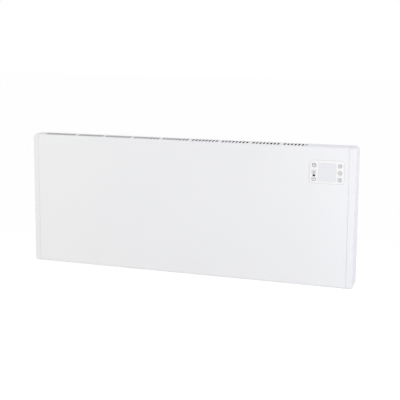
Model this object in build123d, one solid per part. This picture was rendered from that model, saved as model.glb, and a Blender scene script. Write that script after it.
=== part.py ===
from build123d import *
import os

# Wall panel convector heater, in millimetres.
# +X is to the right as seen from the room, +Y towards the wall and +Z up. The origin lies on
# the wall plane, at the centre of the four wall screws and level with the middle of the body.

# Body and casing
BODY_WIDTH = 1000.0  # over both end caps
BODY_HEIGHT = 400.0  # to the edges of the crowned top
BODY_DEPTH = 70.0  # front face to the outside of the rear panel
WALL_GAP = 16.0  # rear panel to wall
SHEET = 0.8  # steel sheet of the casing and its inner plates
CROWN = 3.0  # rise of the top between its front and rear edges
FRONT_BEND = 6.0  # outer radius of the long front edges
REAR_BEND = 3.0  # outer radius of the rear edges
REAR_LIP = 12.0  # lips that the rear panel is screwed to
FIT = 0.2  # clearance between nested pieces
RUN = 0.05  # radial clearance of a fastener or rod in its hole
CUT = 1.0  # how far a cutter runs past a face

# End caps
END_CAP_WIDTH = 20.0
END_CAP_WALL = 2.4
END_CAP_CORNER = 9.0  # corner radius seen from the front
SPIGOT_LENGTH = 6.0  # rim that enters the casing
SPIGOT_WALL = 2.0
SPIGOT_ROOT = 5.0  # how far the rim runs back into the cap
EAR_REACH = 16.0  # screw ears, measured from the seam
EAR_THICKNESS = 7.0
EAR_HEIGHT = 14.0
EAR_SPACING = 140.0

# Air slots, walked from the control bay to the left in groups
SLOT_WIDTH = 5.0
SLOT_LENGTH = 23.5
SLOT_PITCH = 10.4
SLOT_GROUP_GAP = 18.7  # last slot of a group to the first of the next
SLOT_GROUPS = (7, 8, 8, 8, 8, 8, 8, 8, 10)
OUTLET_SETBACK = 20.0  # front face to the middle of the outlet slots
SLOT_END_MARGIN = 12.0  # no slot nearer to the left seam
VENT_LENGTH = 30.0  # rows of vents low in the rear panel
VENT_WIDTH = 4.0
VENT_PITCH = 40.0
VENT_ROWS = (24.0, 34.0)  # above the bottom
VENT_END_MARGIN = 60.0

# Screws and rivets
SCREW_RADIUS = 1.7
SCREW_HEAD_RADIUS = 3.4
SCREW_HEAD_HEIGHT = 2.0
SCREW_LENGTH = 7.0
RIVET_RADIUS = 1.6
RIVET_LIP = 1.6
RIVET_HEAD_HEIGHT = 1.1
CASING_SCREW_COUNT = 5  # along each lip
CASING_SCREW_INSET = 40.0  # from the seams

# Wall brackets
BRACKET_SPACING = 600.0
BRACKET_WIDTH = 44.0
BRACKET_HEIGHT = 260.0
BRACKET_SHEET = 2.0
BRACKET_BEND = 3.5
WALL_HOLE_SPACING = 200.0
WALL_HOLE_RADIUS = 2.75
RELIEF_WIDTH = 18.0  # long hole in the web
RELIEF_LENGTH = 90.0
BRACKET_GAP = 0.3  # bracket edge to rear panel
HOOK_LEVEL = 72.0  # seat of the upper hooks above the middle, and of the lower ones below it
HOOK_ROOT = 10.0
HOOK_TIP = 8.0
HOOK_TIP_THICKNESS = 5.0
HOOK_NOTCH = 0.6  # hook tip to the inside of the rear panel
HOOK_SIDE_GAP = 1.0
HOOK_SEAT_GAP = 0.2
LIFT_TRAVEL = 12.0

# Heating chamber
CONTROL_BAY = 130.2  # partition to the right seam
BAY_FLANGE = 14.0  # flanges of the partition
SHIELD_GAP = 12.0  # heat shield to the rear panel
SHIELD_FOOT = 9.0
SHIELD_END_GAP = 2.0
SHIELD_BOTTOM = 24.0  # above the body's bottom
SHIELD_TOP = 26.0  # below the body's top
SHIELD_RIVET_COUNT = 4  # along each foot
SHIELD_RIVET_INSET = 32.0  # from the shield's ends
ELEMENT_BRACKET_INSET = 42.0  # from the left seam
ELEMENT_BRACKET_FLANGE = 14.0
ELEMENT_BRACKET_MARGIN = 26.0  # plate beyond the outer element centres
ELEMENT_LEVEL = 62.0  # lower element above the bottom
ELEMENT_SPACING = 46.0
ELEMENT_END_GAP = 16.0  # fins to the plates that hold the rods
ELEMENT_AIR_GAP = 6.0  # fin tips to the casing and the shield
ELEMENT_RISE = 14.0  # half height of the fins
ELEMENT_FIN = 1.8
ELEMENT_RIB = 1.2
ELEMENT_RIB_LENGTH = 5.0
ELEMENT_HUB_WALL = 2.5
ELEMENT_SLIT = 1.6
ELEMENT_SLIT_PITCH = 62.0
ROD_RADIUS = 4.0
ROD_TAIL = 14.0  # past the bush
BUSH_WALL = 4.0
BUSH_LIP = 3.0
BUSH_FLANGE = 3.0
BUSH_TAIL = 4.0
TAB_LENGTH = 11.0
TAB_WIDTH = 4.8
TAB_THICKNESS = 0.8
TAB_OFFSET = 2.1
CUTOUT_RADIUS = 8.5
CUTOUT_DEPTH = 9.0
CUTOUT_FLANGE = 32.0
CUTOUT_LEVEL = 20.0  # above the middle
FUSE_RADIUS = 2.1
FUSE_LENGTH = 13.0
FUSE_RISE = 34.0  # thermal fuse above the cut-out
FUSE_CLIP = 1.0

# Control panel
FASCIA_WIDTH = 100.0
FASCIA_HEIGHT = 68.0
FASCIA_CORNER = 7.5
FASCIA_RIM = 3.0  # rim that covers the edge of the opening
FASCIA_PROUD = 0.8
FASCIA_DEPTH = 3.8  # face to back
FASCIA_SEAM_GAP = 11.0  # fascia to the right seam
FASCIA_TOP_GAP = 35.0  # fascia to the top
KEY_INSET = 13.6  # button columns from the fascia's sides
KEY_END = 14.5  # outer rows from the fascia's top and bottom, apart from the drop
KEY_DROP = 1.0  # middle of the keys and window below the fascia's middle
KEY_RADIUS = 6.2
KEY_PROUD = 0.3
KEY_LIP = 0.9  # flange beyond the cap
KEY_FLANGE = 1.0
KEY_TRAVEL = 0.8
KEY_STOP_GAP = 0.1
KEY_STEM_RADIUS = 1.7
KEY_FACE_WALL = 2.4  # fascia left in front of a button flange
WINDOW_SIDE = 24.75  # fascia left beside the window
WINDOW_BAND = 8.3  # fascia left above and below it, apart from the drop
WINDOW_CORNER = 1.0
LCD_MARGIN = 1.8
LCD_THICKNESS = 2.8
EYE_RADIUS = 2.7  # infrared receiver window
EYE_THICKNESS = 2.2
BOARD = 1.6
BOARD_MARGIN = 3.0  # display board inside the fascia's outline
BOARD_GAP = 6.0  # fascia back to the display board
BOSS_RADIUS = 2.5
BOSS_INSET = 3.4  # from the edge of the insert
SMALL_SCREW_RADIUS = 1.2
SMALL_HEAD_RADIUS = 2.3
SMALL_HEAD_HEIGHT = 1.5
SWITCH_CUBE = 6.0
SWITCH_HEIGHT = 3.5
SWITCH_WELL_SPARE = 0.5  # below the stem of a pressed key
STEM_ENTRY = 0.3
RECEIVER_WIDTH = 5.0
RECEIVER_HEIGHT = 4.2
RECEIVER_GAP = 0.3
HOUSING_MARGIN = 1.0  # rear housing beyond the fascia's outline
HOUSING_WALL = 2.0
HOUSING_DEPTH = 20.0

# Power electronics in the control bay
POWER_BOARD_WIDTH = 88.0
POWER_BOARD_HEIGHT = 118.0
POWER_BOARD_DROP = 16.0  # below the display housing
STANDOFF_LENGTH = 12.0
STANDOFF_RADIUS = 3.0
STANDOFF_INSET = 6.0
RELAY_WIDTH = 15.5
RELAY_DEPTH = 20.0
RELAY_HEIGHT = 22.0
RELAY_SPACING = 22.0
TRANSFORMER_WIDTH = 34.0
TRANSFORMER_HEIGHT = 26.0
TRANSFORMER_DEPTH = 22.0
CAPACITOR_RADIUS = 5.0
CAPACITOR_DEPTH = 16.0
CAPACITOR_SPACING = 13.0
GLASS_FUSE_RADIUS = 2.6
GLASS_FUSE_LENGTH = 20.0
GLASS_FUSE_LIFT = 1.0
HEADER_WIDTH = 15.0
HEADER_HEIGHT = 6.0
HEADER_DEPTH = 8.0
SOCKET_WIDTH = 9.0
SOCKET_HEIGHT = 12.0
SOCKET_DEPTH = 10.0
SOCKET_PITCH = 12.0
MAINS_SOCKETS = 2
ELEMENT_SOCKETS = 4
RADIO_WIDTH = 18.0
RADIO_HEIGHT = 24.0
RADIO_CAN = 12.0
RADIO_CAN_DEPTH = 2.4
TERMINAL_WIDTH = 36.0
TERMINAL_HEIGHT = 16.0
TERMINAL_DEPTH = 18.0
TERMINAL_POLE_PITCH = 12.0
TERMINAL_LEVEL = 78.0  # above the bottom
LEAD_RADIUS = 1.2
LEAD_BEND = 8.0
LEAD_DROP = 22.0
LEAD_RISE = 15.0  # straight run above a switch lug
LEAD_ENTRY = 4.0
WIRE_WAY = 0.55  # wire holes of the terminal block, as a share of its depth from the front
RIBBON_WIDTH = 12.0
RIBBON = 0.8
RIBBON_BEND = 5.0

# Underside: main switch, cord gland and room sensor
SWITCH_FROM_SEAM = 50.0
SWITCH_LENGTH = 30.0
SWITCH_WIDTH = 21.6
SWITCH_DEPTH = 24.0
SWITCH_RIM = 1.6
SWITCH_RIM_DEPTH = 1.8
SWITCH_WALL = 1.6
SWITCH_END_WALL = 1.8
ROCKER_MID = 2.6  # face below the pivot, in the middle
ROCKER_END = 5.0  # face below the pivot, at the ends
ROCKER_BACK = 2.0
ROCKER_THROW = 20.0  # degrees
ROCKER_PIVOT_LIFT = 3.0  # pivot above the casing's bottom
ROCKER_SIDE_GAP = 0.3
ROCKER_END_GAP = 0.4
ROCKER_HEADROOM = 6.0
PIN_RADIUS = 1.5
PIN_LENGTH = 1.2
LUG_LENGTH = 9.0
LUG_WIDTH = 6.3
LUG_PITCH = 12.0
GLAND_FROM_SEAM = 96.0
GLAND_BORE_RADIUS = 4.0
GLAND_WALL = 3.5
GLAND_LIP = 3.5
GLAND_FLANGE = 2.5
GLAND_LENGTH = 14.0
GLAND_NUT = 5.0
PROBE_RADIUS = 2.5
PROBE_LENGTH = 20.0
PROBE_PROUD = 2.5
PROBE_FROM_SEAM = 16.0
PROBE_COLLAR = 1.5
EARTH_RADIUS = 2.0
EARTH_LENGTH = 13.0
EARTH_NUT_LIP = 2.0
EARTH_NUT = 3.2
EARTH_LEVEL = 40.0  # above the bottom

# Planes and edges that follow from the sizes above
FRONT_Y = -(WALL_GAP + BODY_DEPTH)
REAR_Y = -WALL_GAP
TOP_Z = BODY_HEIGHT / 2
CROWN_RADIUS = ((BODY_DEPTH / 2) ** 2 + CROWN**2) / (2 * CROWN)
OUTLET_Y = FRONT_Y + OUTLET_SETBACK
SEAM_X = BODY_WIDTH / 2 - END_CAP_WIDTH
INNER_FRONT_Y = FRONT_Y + SHEET
REAR_INNER_Y = REAR_Y - SHEET  # inside of the rear panel and back of the lips
LIP_INNER_Y = REAR_INNER_Y - SHEET
MIDDLE_Y = (FRONT_Y + REAR_Y) / 2
INNER_TOP_Z = TOP_Z - SHEET
LIP_Z = TOP_Z - REAR_BEND - (REAR_LIP - REAR_BEND) / 2
PARTITION_X = SEAM_X - CONTROL_BAY
BAY_X = (PARTITION_X + SEAM_X) / 2
SHIELD_Y = REAR_INNER_Y - SHIELD_GAP  # back of the heat shield
SHIELD_LOW_Z = -TOP_Z + SHIELD_BOTTOM
SHIELD_HIGH_Z = TOP_Z - SHIELD_TOP
ELEMENT_BRACKET_X = -SEAM_X + ELEMENT_BRACKET_INSET
ELEMENT_Y = (INNER_FRONT_Y + SHIELD_Y - SHEET) / 2
ELEMENT_REACH = (SHIELD_Y - SHEET - INNER_FRONT_Y) / 2 - ELEMENT_AIR_GAP
ELEMENT_LEVELS = (-TOP_Z + ELEMENT_LEVEL, -TOP_Z + ELEMENT_LEVEL + ELEMENT_SPACING)
ELEMENT_HUB_RADIUS = ROD_RADIUS + ELEMENT_HUB_WALL
BUSH_RADIUS = ROD_RADIUS + BUSH_WALL
BUSH_FLANGE_RADIUS = BUSH_RADIUS + BUSH_LIP
ROD_LEFT_X = ELEMENT_BRACKET_X - SHEET - BUSH_TAIL - FIT
ROD_RIGHT_X = PARTITION_X + SHEET + BUSH_TAIL + ROD_TAIL
FASCIA_X = SEAM_X - FASCIA_SEAM_GAP - FASCIA_WIDTH / 2
FASCIA_Z = TOP_Z - FASCIA_TOP_GAP - FASCIA_HEIGHT / 2
FASCIA_FACE_Y = FRONT_Y - FASCIA_PROUD
FASCIA_BACK_Y = FASCIA_FACE_Y + FASCIA_DEPTH
KEY_Z = FASCIA_Z - KEY_DROP
KEY_COLUMN = FASCIA_WIDTH / 2 - KEY_INSET
KEY_PITCH = FASCIA_HEIGHT / 2 - KEY_END
KEY_FLANGE_RADIUS = KEY_RADIUS + KEY_LIP
SWITCH_WELL = STEM_ENTRY + KEY_TRAVEL + SWITCH_WELL_SPARE
WINDOW_WIDTH = FASCIA_WIDTH - 2 * WINDOW_SIDE
WINDOW_HEIGHT = FASCIA_HEIGHT - 2 * WINDOW_BAND
BOARD_Y = FASCIA_BACK_Y + BOARD_GAP  # front of the display board
HOUSING_BACK_Y = INNER_FRONT_Y + HOUSING_DEPTH
HOUSING_LOW_Z = FASCIA_Z - FASCIA_HEIGHT / 2 - HOUSING_MARGIN
KEY_BACK_Y = FASCIA_FACE_Y + KEY_FACE_WALL + KEY_STOP_GAP + KEY_FLANGE
POWER_BOARD_Y = REAR_INNER_Y - STANDOFF_LENGTH - BOARD  # front of the power board
POWER_BOARD_TOP = HOUSING_LOW_Z - POWER_BOARD_DROP
POWER_BOARD_Z = POWER_BOARD_TOP - POWER_BOARD_HEIGHT / 2
POWER_BOARD_BOTTOM = POWER_BOARD_TOP - POWER_BOARD_HEIGHT
TERMINAL_Z = -TOP_Z + TERMINAL_LEVEL
SWITCH_X = SEAM_X - SWITCH_FROM_SEAM
ROCKER_PIVOT_Z = -TOP_Z + ROCKER_PIVOT_LIFT
ROCKER_RADIUS = SWITCH_LENGTH / 2 - SWITCH_END_WALL - ROCKER_END_GAP  # of its round ends
GLAND_X = SEAM_X - GLAND_FROM_SEAM
GLAND_RADIUS = GLAND_BORE_RADIUS + GLAND_WALL
GLAND_FLANGE_RADIUS = GLAND_RADIUS + GLAND_LIP
PROBE_X = SEAM_X - PROBE_FROM_SEAM

KEYS = {
    "mode_button": (-1, 1),
    "cancel_button": (-1, 0),
    "power_button": (-1, -1),
    "timer_button": (1, 1),
    "plus_button": (1, 0),
    "minus_button": (1, -1),
}


def box(x0, x1, y0, y1, z0, z1):
    """Block between two corners."""
    middle = Pos((x0 + x1) / 2, (y0 + y1) / 2, (z0 + z1) / 2)
    return middle * Box(x1 - x0, y1 - y0, z1 - z0)


def rod_x(x0, x1, y, z, radius):
    """Round bar along X."""
    return Pos((x0 + x1) / 2, y, z) * Rot(0, 90, 0) * Cylinder(radius, x1 - x0)


def rod_y(y0, y1, x, z, radius):
    """Round bar along Y."""
    return Pos(x, (y0 + y1) / 2, z) * Rot(90, 0, 0) * Cylinder(radius, y1 - y0)


def rod_z(z0, z1, x, y, radius):
    """Round bar along Z."""
    return Pos(x, y, (z0 + z1) / 2) * Cylinder(radius, z1 - z0)


def plate_y(y0, y1, x, z, width, height, corner):
    """Upright plate with rounded corners, between two Y planes."""
    outline = Plane.XZ * RectangleRounded(width, height, corner)
    return Pos(x, y1, z) * extrude(outline, amount=y1 - y0)


def joined(pieces):
    """One node from several solids."""
    return Part() + list(pieces)


def hexagon(radius):
    """Outline of a hexagon nut."""
    return RegularPolygon(radius, 6)


def screw_y(x, z, seat_y, length, radius, head_radius, head_height):
    """Pan head screw driven from the rear, head towards the wall."""
    head = rod_y(seat_y, seat_y + head_height, x, z, head_radius)
    head = fillet(head.faces().sort_by(Axis.Y)[-1].edges(), head_height * 0.45)
    recess_y = seat_y + head_height * 0.45
    arm = head_radius * 0.6
    slot = radius * 0.3
    head -= box(x - arm, x + arm, recess_y, seat_y + head_height + CUT, z - slot, z + slot)
    head -= box(x - slot, x + slot, recess_y, seat_y + head_height + CUT, z - arm, z + arm)
    return head + rod_y(seat_y - length, seat_y, x, z, radius)


def rivet_y(x, z):
    """Blind rivet through the rear panel and one inner sheet, head towards the wall."""
    head = rod_y(REAR_Y, REAR_Y + RIVET_HEAD_HEIGHT, x, z, RIVET_RADIUS + RIVET_LIP)
    head = fillet(head.faces().sort_by(Axis.Y)[-1].edges(), RIVET_HEAD_HEIGHT * 0.6)
    tail_y = REAR_Y - 2 * SHEET
    tail = rod_y(tail_y - RIVET_HEAD_HEIGHT * 1.5, tail_y, x, z, RIVET_RADIUS * 1.5)
    return head + rod_y(tail_y, REAR_Y, x, z, RIVET_RADIUS) + tail


def slot_centres():
    """X of each air slot. The first lies over the partition's flange."""
    x = PARTITION_X + BAY_FLANGE / 2
    centres = []
    for count in SLOT_GROUPS:
        centres += [x - i * SLOT_PITCH for i in range(count)]
        x = centres[-1] - SLOT_GROUP_GAP
    return [c for c in centres if c > SLOT_END_MARGIN - SEAM_X]


def air_slots(y, z0, z1):
    """Cutter for one row of air slots, which run from front to rear."""
    slot = SlotOverall(SLOT_LENGTH, SLOT_WIDTH, rotation=90)
    row = Sketch() + [Pos(x, y) * slot for x in slot_centres()]
    return Pos(0, 0, z0) * extrude(row, amount=z1 - z0)


def crown_point(y, inset):
    """Point of the crowned top on YZ, drawn in by an inset."""
    radius = CROWN_RADIUS - inset
    return y, TOP_Z + CROWN - CROWN_RADIUS + (radius**2 - (y - MIDDLE_Y) ** 2) ** 0.5


def casing_outline(inset, rear_y):
    """Side view of the casing on YZ with sharp edges, drawn in by an inset."""
    front_y, low = FRONT_Y + inset, inset - TOP_Z
    front, rear = crown_point(front_y, inset), crown_point(rear_y, inset)
    crown = ThreePointArc(front, crown_point((front_y + rear_y) / 2, inset), rear)
    sides = Polyline(rear, (rear_y, low), (front_y, low), front)
    return make_face(crown.edges() + sides.edges())


def casing_section(inset, rear_y):
    """Side view of the casing on YZ with its rounded edges, drawn in by an inset."""
    outline = casing_outline(inset, rear_y)
    outline = fillet(outline.vertices().group_by(Axis.X)[0], max(FRONT_BEND - inset, SHEET))
    return fillet(outline.vertices().group_by(Axis.X)[-1], max(REAR_BEND - inset, SHEET))


def casing_block(x0, x1, inset, rear_y):
    """Bar with the casing's section."""
    return Pos(x0, 0, 0) * extrude(Plane.YZ * casing_section(inset, rear_y), amount=x1 - x0)


def spread(x0, x1, count):
    """Evenly spaced places from one to the other."""
    return [x0 + i * (x1 - x0) / (count - 1) for i in range(count)]


def casing_screw_spots():
    """Screws of the rear panel, along both lips."""
    reach = SEAM_X - CASING_SCREW_INSET
    return [(x, z) for x in spread(-reach, reach, CASING_SCREW_COUNT) for z in (-LIP_Z, LIP_Z)]


def ear_spots():
    """Screws that hold the end caps, through the rear panel."""
    x = SEAM_X - (EAR_REACH + SPIGOT_LENGTH) / 2
    levels = (-EAR_SPACING, 0, EAR_SPACING)
    return [(side * x, z) for side in (-1, 1) for z in levels]


def shield_rivet_spots():
    """Rivets in the feet of the heat shield."""
    x0 = ELEMENT_BRACKET_X + SHIELD_END_GAP + SHIELD_RIVET_INSET
    x1 = PARTITION_X - SHIELD_END_GAP - SHIELD_RIVET_INSET
    levels = (SHIELD_LOW_Z - SHIELD_FOOT / 2, SHIELD_HIGH_Z + SHIELD_FOOT / 2)
    return [(x, z) for x in spread(x0, x1, SHIELD_RIVET_COUNT) for z in levels]


def frame_rivet_spots():
    """Rivets of the partition and of the element bracket."""
    bay_x = PARTITION_X + SHEET + (BAY_FLANGE - SHEET) / 2
    left_x = ELEMENT_BRACKET_X - SHEET - (ELEMENT_BRACKET_FLANGE - SHEET) / 2
    bay = [(bay_x, z) for z in (-EAR_SPACING, 0, EAR_SPACING)]
    return bay + [(left_x, z) for z in ELEMENT_LEVELS]


def standoff_spots():
    """Corners of the power board."""
    dx = POWER_BOARD_WIDTH / 2 - STANDOFF_INSET
    dz = POWER_BOARD_HEIGHT / 2 - STANDOFF_INSET
    return [(BAY_X + i * dx, POWER_BOARD_Z + k * dz) for i in (-1, 1) for k in (-1, 1)]


def boss_spots():
    """Screws of the display board."""
    dx = FASCIA_WIDTH / 2 - FASCIA_RIM - BOSS_INSET
    dz = FASCIA_HEIGHT / 2 - FASCIA_RIM - BOSS_INSET
    return [(FASCIA_X + i * dx, FASCIA_Z + k * dz) for i in (-1, 1) for k in (-1, 1)]


def key_spot(name):
    """Centre of a button."""
    side, row = KEYS[name]
    return FASCIA_X + side * KEY_COLUMN, KEY_Z + row * KEY_PITCH


def eye_spot():
    """Centre of the infrared receiver, between the two lower left buttons."""
    return FASCIA_X - KEY_COLUMN, KEY_Z - KEY_PITCH / 2


def hook_flanges():
    """X ranges of the four bracket flanges that carry hooks."""
    ranges = []
    for side in (-1, 1):
        centre = side * BRACKET_SPACING / 2
        outer = BRACKET_WIDTH / 2
        ranges.append((centre - outer, centre - outer + BRACKET_SHEET))
        ranges.append((centre + outer - BRACKET_SHEET, centre + outer))
    return ranges


# Casing


def front_panel():
    """Folded steel front with its top, bottom and rear lips."""
    panel = casing_block(-SEAM_X, SEAM_X, 0, REAR_INNER_Y)
    panel -= casing_block(-SEAM_X - CUT, SEAM_X + CUT, SHEET, LIP_INNER_Y)
    open_z = TOP_Z - REAR_LIP
    panel -= box(-SEAM_X - CUT, SEAM_X + CUT, LIP_INNER_Y - CUT, REAR_INNER_Y + CUT, -open_z, open_z)
    panel -= air_slots(OUTLET_Y, INNER_TOP_Z - CUT, TOP_Z + CROWN + CUT)
    panel -= air_slots(MIDDLE_Y, -TOP_Z - CUT, -INNER_TOP_Z + CUT)
    width = FASCIA_WIDTH - 2 * FASCIA_RIM + 2 * FIT
    height = FASCIA_HEIGHT - 2 * FASCIA_RIM + 2 * FIT
    corner = FASCIA_CORNER - FASCIA_RIM + FIT
    panel -= plate_y(FRONT_Y - CUT, INNER_FRONT_Y + CUT, FASCIA_X, FASCIA_Z, width, height, corner)
    dx = SWITCH_LENGTH / 2 + FIT
    dy = SWITCH_WIDTH / 2 + FIT
    low = -TOP_Z - CUT
    high = -INNER_TOP_Z + CUT
    panel -= box(SWITCH_X - dx, SWITCH_X + dx, MIDDLE_Y - dy, MIDDLE_Y + dy, low, high)
    panel -= rod_z(low, high, GLAND_X, MIDDLE_Y, GLAND_RADIUS + FIT)
    panel -= rod_z(low, high, PROBE_X, MIDDLE_Y, PROBE_RADIUS + FIT)
    for x, z in casing_screw_spots():
        panel -= rod_y(LIP_INNER_Y - CUT, REAR_INNER_Y + CUT, x, z, SCREW_RADIUS + RUN)
    return panel


def rear_panel():
    """Flat steel back with hook slots, vents and fastener holes."""
    high = TOP_Z - REAR_BEND
    panel = box(-SEAM_X, SEAM_X, REAR_INNER_Y, REAR_Y, -high, high)
    cut = (REAR_INNER_Y - CUT, REAR_Y + CUT)
    for x0, x1 in hook_flanges():
        for seat in (HOOK_LEVEL, -HOOK_LEVEL):
            low = seat - HOOK_ROOT - LIFT_TRAVEL - HOOK_SIDE_GAP
            panel -= box(x0 - HOOK_SIDE_GAP, x1 + HOOK_SIDE_GAP, *cut, low, seat + HOOK_SEAT_GAP)
    for x, z in casing_screw_spots() + ear_spots():
        panel -= rod_y(*cut, x, z, SCREW_RADIUS + RUN)
    for x, z in shield_rivet_spots() + frame_rivet_spots():
        panel -= rod_y(*cut, x, z, RIVET_RADIUS + RUN)
    for x, z in standoff_spots():
        panel -= rod_y(*cut, x, z, SMALL_SCREW_RADIUS + RUN)
    panel -= rod_y(*cut, BAY_X, TERMINAL_Z, SMALL_SCREW_RADIUS + RUN)
    count = int((PARTITION_X + SEAM_X - 2 * VENT_END_MARGIN) // VENT_PITCH) + 1
    middle = (PARTITION_X - SEAM_X) / 2
    vent = SlotOverall(VENT_LENGTH, VENT_WIDTH)
    spots = [
        (middle + (i - (count - 1) / 2) * VENT_PITCH, -TOP_Z + row)
        for i in range(count)
        for row in VENT_ROWS
    ]
    vents = Sketch() + [Pos(x, z) * vent for x, z in spots]
    return panel - Pos(0, REAR_Y + CUT, 0) * extrude(Plane.XZ * vents, amount=SHEET + 2 * CUT)


def cap_block(inset):
    """Outer form of the right end cap, drawn in by an inset."""
    section = Plane.YZ * casing_outline(inset, REAR_Y - inset)
    block = Pos(SEAM_X, 0, 0) * extrude(section, amount=END_CAP_WIDTH - inset)
    side = block.faces().sort_by(Axis.X)[-1].edges().sort_by(Axis.Z)
    block = fillet([side[0], side[-1]], END_CAP_CORNER - inset)
    for which, radius in ((0, FRONT_BEND), (-1, REAR_BEND)):
        face = block.faces().sort_by(Axis.Y)[which]
        rim = face.edges().filter_by(lambda e: e.center().X > SEAM_X + RUN)
        block = fillet(rim, max(radius - inset, FIT))
    return block


def end_cap():
    """Right end cap: moulded shell, rim that enters the casing, and screw ears."""
    shell = cap_block(0) - cap_block(END_CAP_WALL)
    x0 = SEAM_X - SPIGOT_LENGTH
    x1 = SEAM_X + SPIGOT_ROOT
    outer = SHEET + FIT
    inner = outer + SPIGOT_WALL
    rear = LIP_INNER_Y - FIT
    rim = casing_block(x0, x1, outer, rear)
    rim -= casing_block(x0 - CUT, x1 + CUT, inner, rear - SPIGOT_WALL)
    cap = shell + rim
    for x, z in ear_spots():
        if x > 0:
            low, high = z - EAR_HEIGHT / 2, z + EAR_HEIGHT / 2
            ear_y = REAR_INNER_Y - EAR_THICKNESS
            ear = box(SEAM_X - EAR_REACH, SEAM_X, ear_y, REAR_INNER_Y, low, high)
            cap += fillet(ear.edges().filter_by(Axis.Y).group_by(Axis.X)[0], 2 * FIT)
    for x, z in ear_spots():
        if x > 0:
            cap -= rod_y(REAR_INNER_Y - EAR_THICKNESS - CUT, REAR_Y, x, z, SCREW_RADIUS + RUN)
    return cap


def rear_screws(spots):
    """Group of casing screws with their heads on the rear panel."""
    size = (SCREW_LENGTH, SCREW_RADIUS, SCREW_HEAD_RADIUS, SCREW_HEAD_HEIGHT)
    return joined(screw_y(x, z, REAR_Y, *size) for x, z in spots)


def rear_rivets(spots):
    """Group of rivets in the rear panel."""
    return joined(rivet_y(x, z) for x, z in spots)


# Wall brackets


def wall_bracket(x):
    """U-channel that is screwed to the wall and carries two pairs of hooks."""
    front_y = REAR_Y + BRACKET_GAP
    depth = -front_y
    outer = Pos(0, -depth / 2) * Rectangle(BRACKET_WIDTH, depth)
    outer = fillet(outer.vertices().group_by(Axis.Y)[-1], BRACKET_BEND)
    inside = Pos(0, -depth / 2 - BRACKET_SHEET) * Rectangle(BRACKET_WIDTH - 2 * BRACKET_SHEET, depth)
    inside = fillet(inside.vertices().group_by(Axis.Y)[-1], BRACKET_BEND - BRACKET_SHEET)
    bracket = Pos(x, 0, -BRACKET_HEIGHT / 2) * extrude(outer - inside, amount=BRACKET_HEIGHT)
    for z in (-WALL_HOLE_SPACING / 2, WALL_HOLE_SPACING / 2):
        bracket -= rod_y(-BRACKET_SHEET - CUT, CUT, x, z, WALL_HOLE_RADIUS)
    relief = Plane.XZ * SlotOverall(RELIEF_LENGTH, RELIEF_WIDTH, rotation=90)
    bracket -= Pos(x, CUT, 0) * extrude(relief, amount=BRACKET_SHEET + 2 * CUT)
    for x0, x1 in hook_flanges():
        if x - BRACKET_WIDTH < x0 < x + BRACKET_WIDTH:
            for seat in (HOOK_LEVEL, -HOOK_LEVEL):
                bracket += hook(x0, x1, seat)
    return bracket


def hook(x0, x1, seat):
    """One upturned hook in the plane of a bracket flange."""
    root_y = REAR_Y + BRACKET_GAP + BRACKET_SHEET
    back_y = REAR_INNER_Y - HOOK_NOTCH
    tip_y = back_y - HOOK_TIP_THICKNESS
    lead = HOOK_TIP_THICKNESS * 0.4
    outline = Polyline(
        (root_y, seat - HOOK_ROOT),
        (tip_y + lead, seat - HOOK_ROOT),
        (tip_y, seat - HOOK_ROOT + lead),
        (tip_y, seat + HOOK_TIP - lead),
        (tip_y + lead, seat + HOOK_TIP),
        (back_y, seat + HOOK_TIP),
        (back_y, seat),
        (root_y, seat),
        close=True,
    )
    return Pos(x0, 0, 0) * extrude(Plane.YZ * make_face(outline), amount=x1 - x0)


# Heating chamber


def control_bay_partition():
    """Folded plate between the heating chamber and the control bay."""
    x0, x1 = PARTITION_X, PARTITION_X + SHEET
    front = INNER_FRONT_Y + 2 * FIT
    plate = box(x0, x1, front, LIP_INNER_Y, -TOP_Z, TOP_Z + CROWN)
    flat = (x0, x0 + BAY_FLANGE, front + FRONT_BEND, LIP_INNER_Y - REAR_BEND)
    flanges = casing_block(x0, x0 + BAY_FLANGE, SHEET, LIP_INNER_Y)
    flanges -= casing_block(x0 - CUT, x0 + BAY_FLANGE + CUT, 2 * SHEET, LIP_INNER_Y)
    flanges &= box(*flat, -TOP_Z, TOP_Z + CROWN)
    open_z = TOP_Z - REAR_LIP - FIT
    rear = box(x0, x0 + BAY_FLANGE, LIP_INNER_Y, REAR_INNER_Y, -open_z, open_z)
    clip = casing_block(x0 - CUT, x0 + BAY_FLANGE + CUT, SHEET, LIP_INNER_Y)
    partition = (plate & clip) + flanges + rear
    for z in ELEMENT_LEVELS:
        partition -= rod_x(x0 - CUT, x1 + CUT, ELEMENT_Y, z, BUSH_RADIUS + RUN)
    for x, z in frame_rivet_spots():
        if x > 0:
            partition -= rod_y(LIP_INNER_Y - CUT, REAR_INNER_Y + CUT, x, z, RIVET_RADIUS + RUN)
    earth_z = -TOP_Z + EARTH_LEVEL
    partition -= rod_x(x0 - CUT, x1 + CUT, MIDDLE_Y, earth_z, EARTH_RADIUS + RUN)
    return partition


def rear_heat_shield():
    """Bright sheet that keeps the rear panel cool, with feet along both edges."""
    x0 = ELEMENT_BRACKET_X + SHIELD_END_GAP
    x1 = PARTITION_X - SHIELD_END_GAP
    low, high = SHIELD_LOW_Z, SHIELD_HIGH_Z
    shield = box(x0, x1, SHIELD_Y - SHEET, SHIELD_Y, low, high)
    shield += box(x0, x1, SHIELD_Y, REAR_INNER_Y, low, low + SHEET)
    shield += box(x0, x1, SHIELD_Y, REAR_INNER_Y, high - SHEET, high)
    shield += box(x0, x1, LIP_INNER_Y, REAR_INNER_Y, low - SHIELD_FOOT, low)
    shield += box(x0, x1, LIP_INNER_Y, REAR_INNER_Y, high, high + SHIELD_FOOT)
    for x, z in shield_rivet_spots():
        shield -= rod_y(LIP_INNER_Y - CUT, REAR_INNER_Y + CUT, x, z, RIVET_RADIUS + RUN)
    return shield


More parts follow.
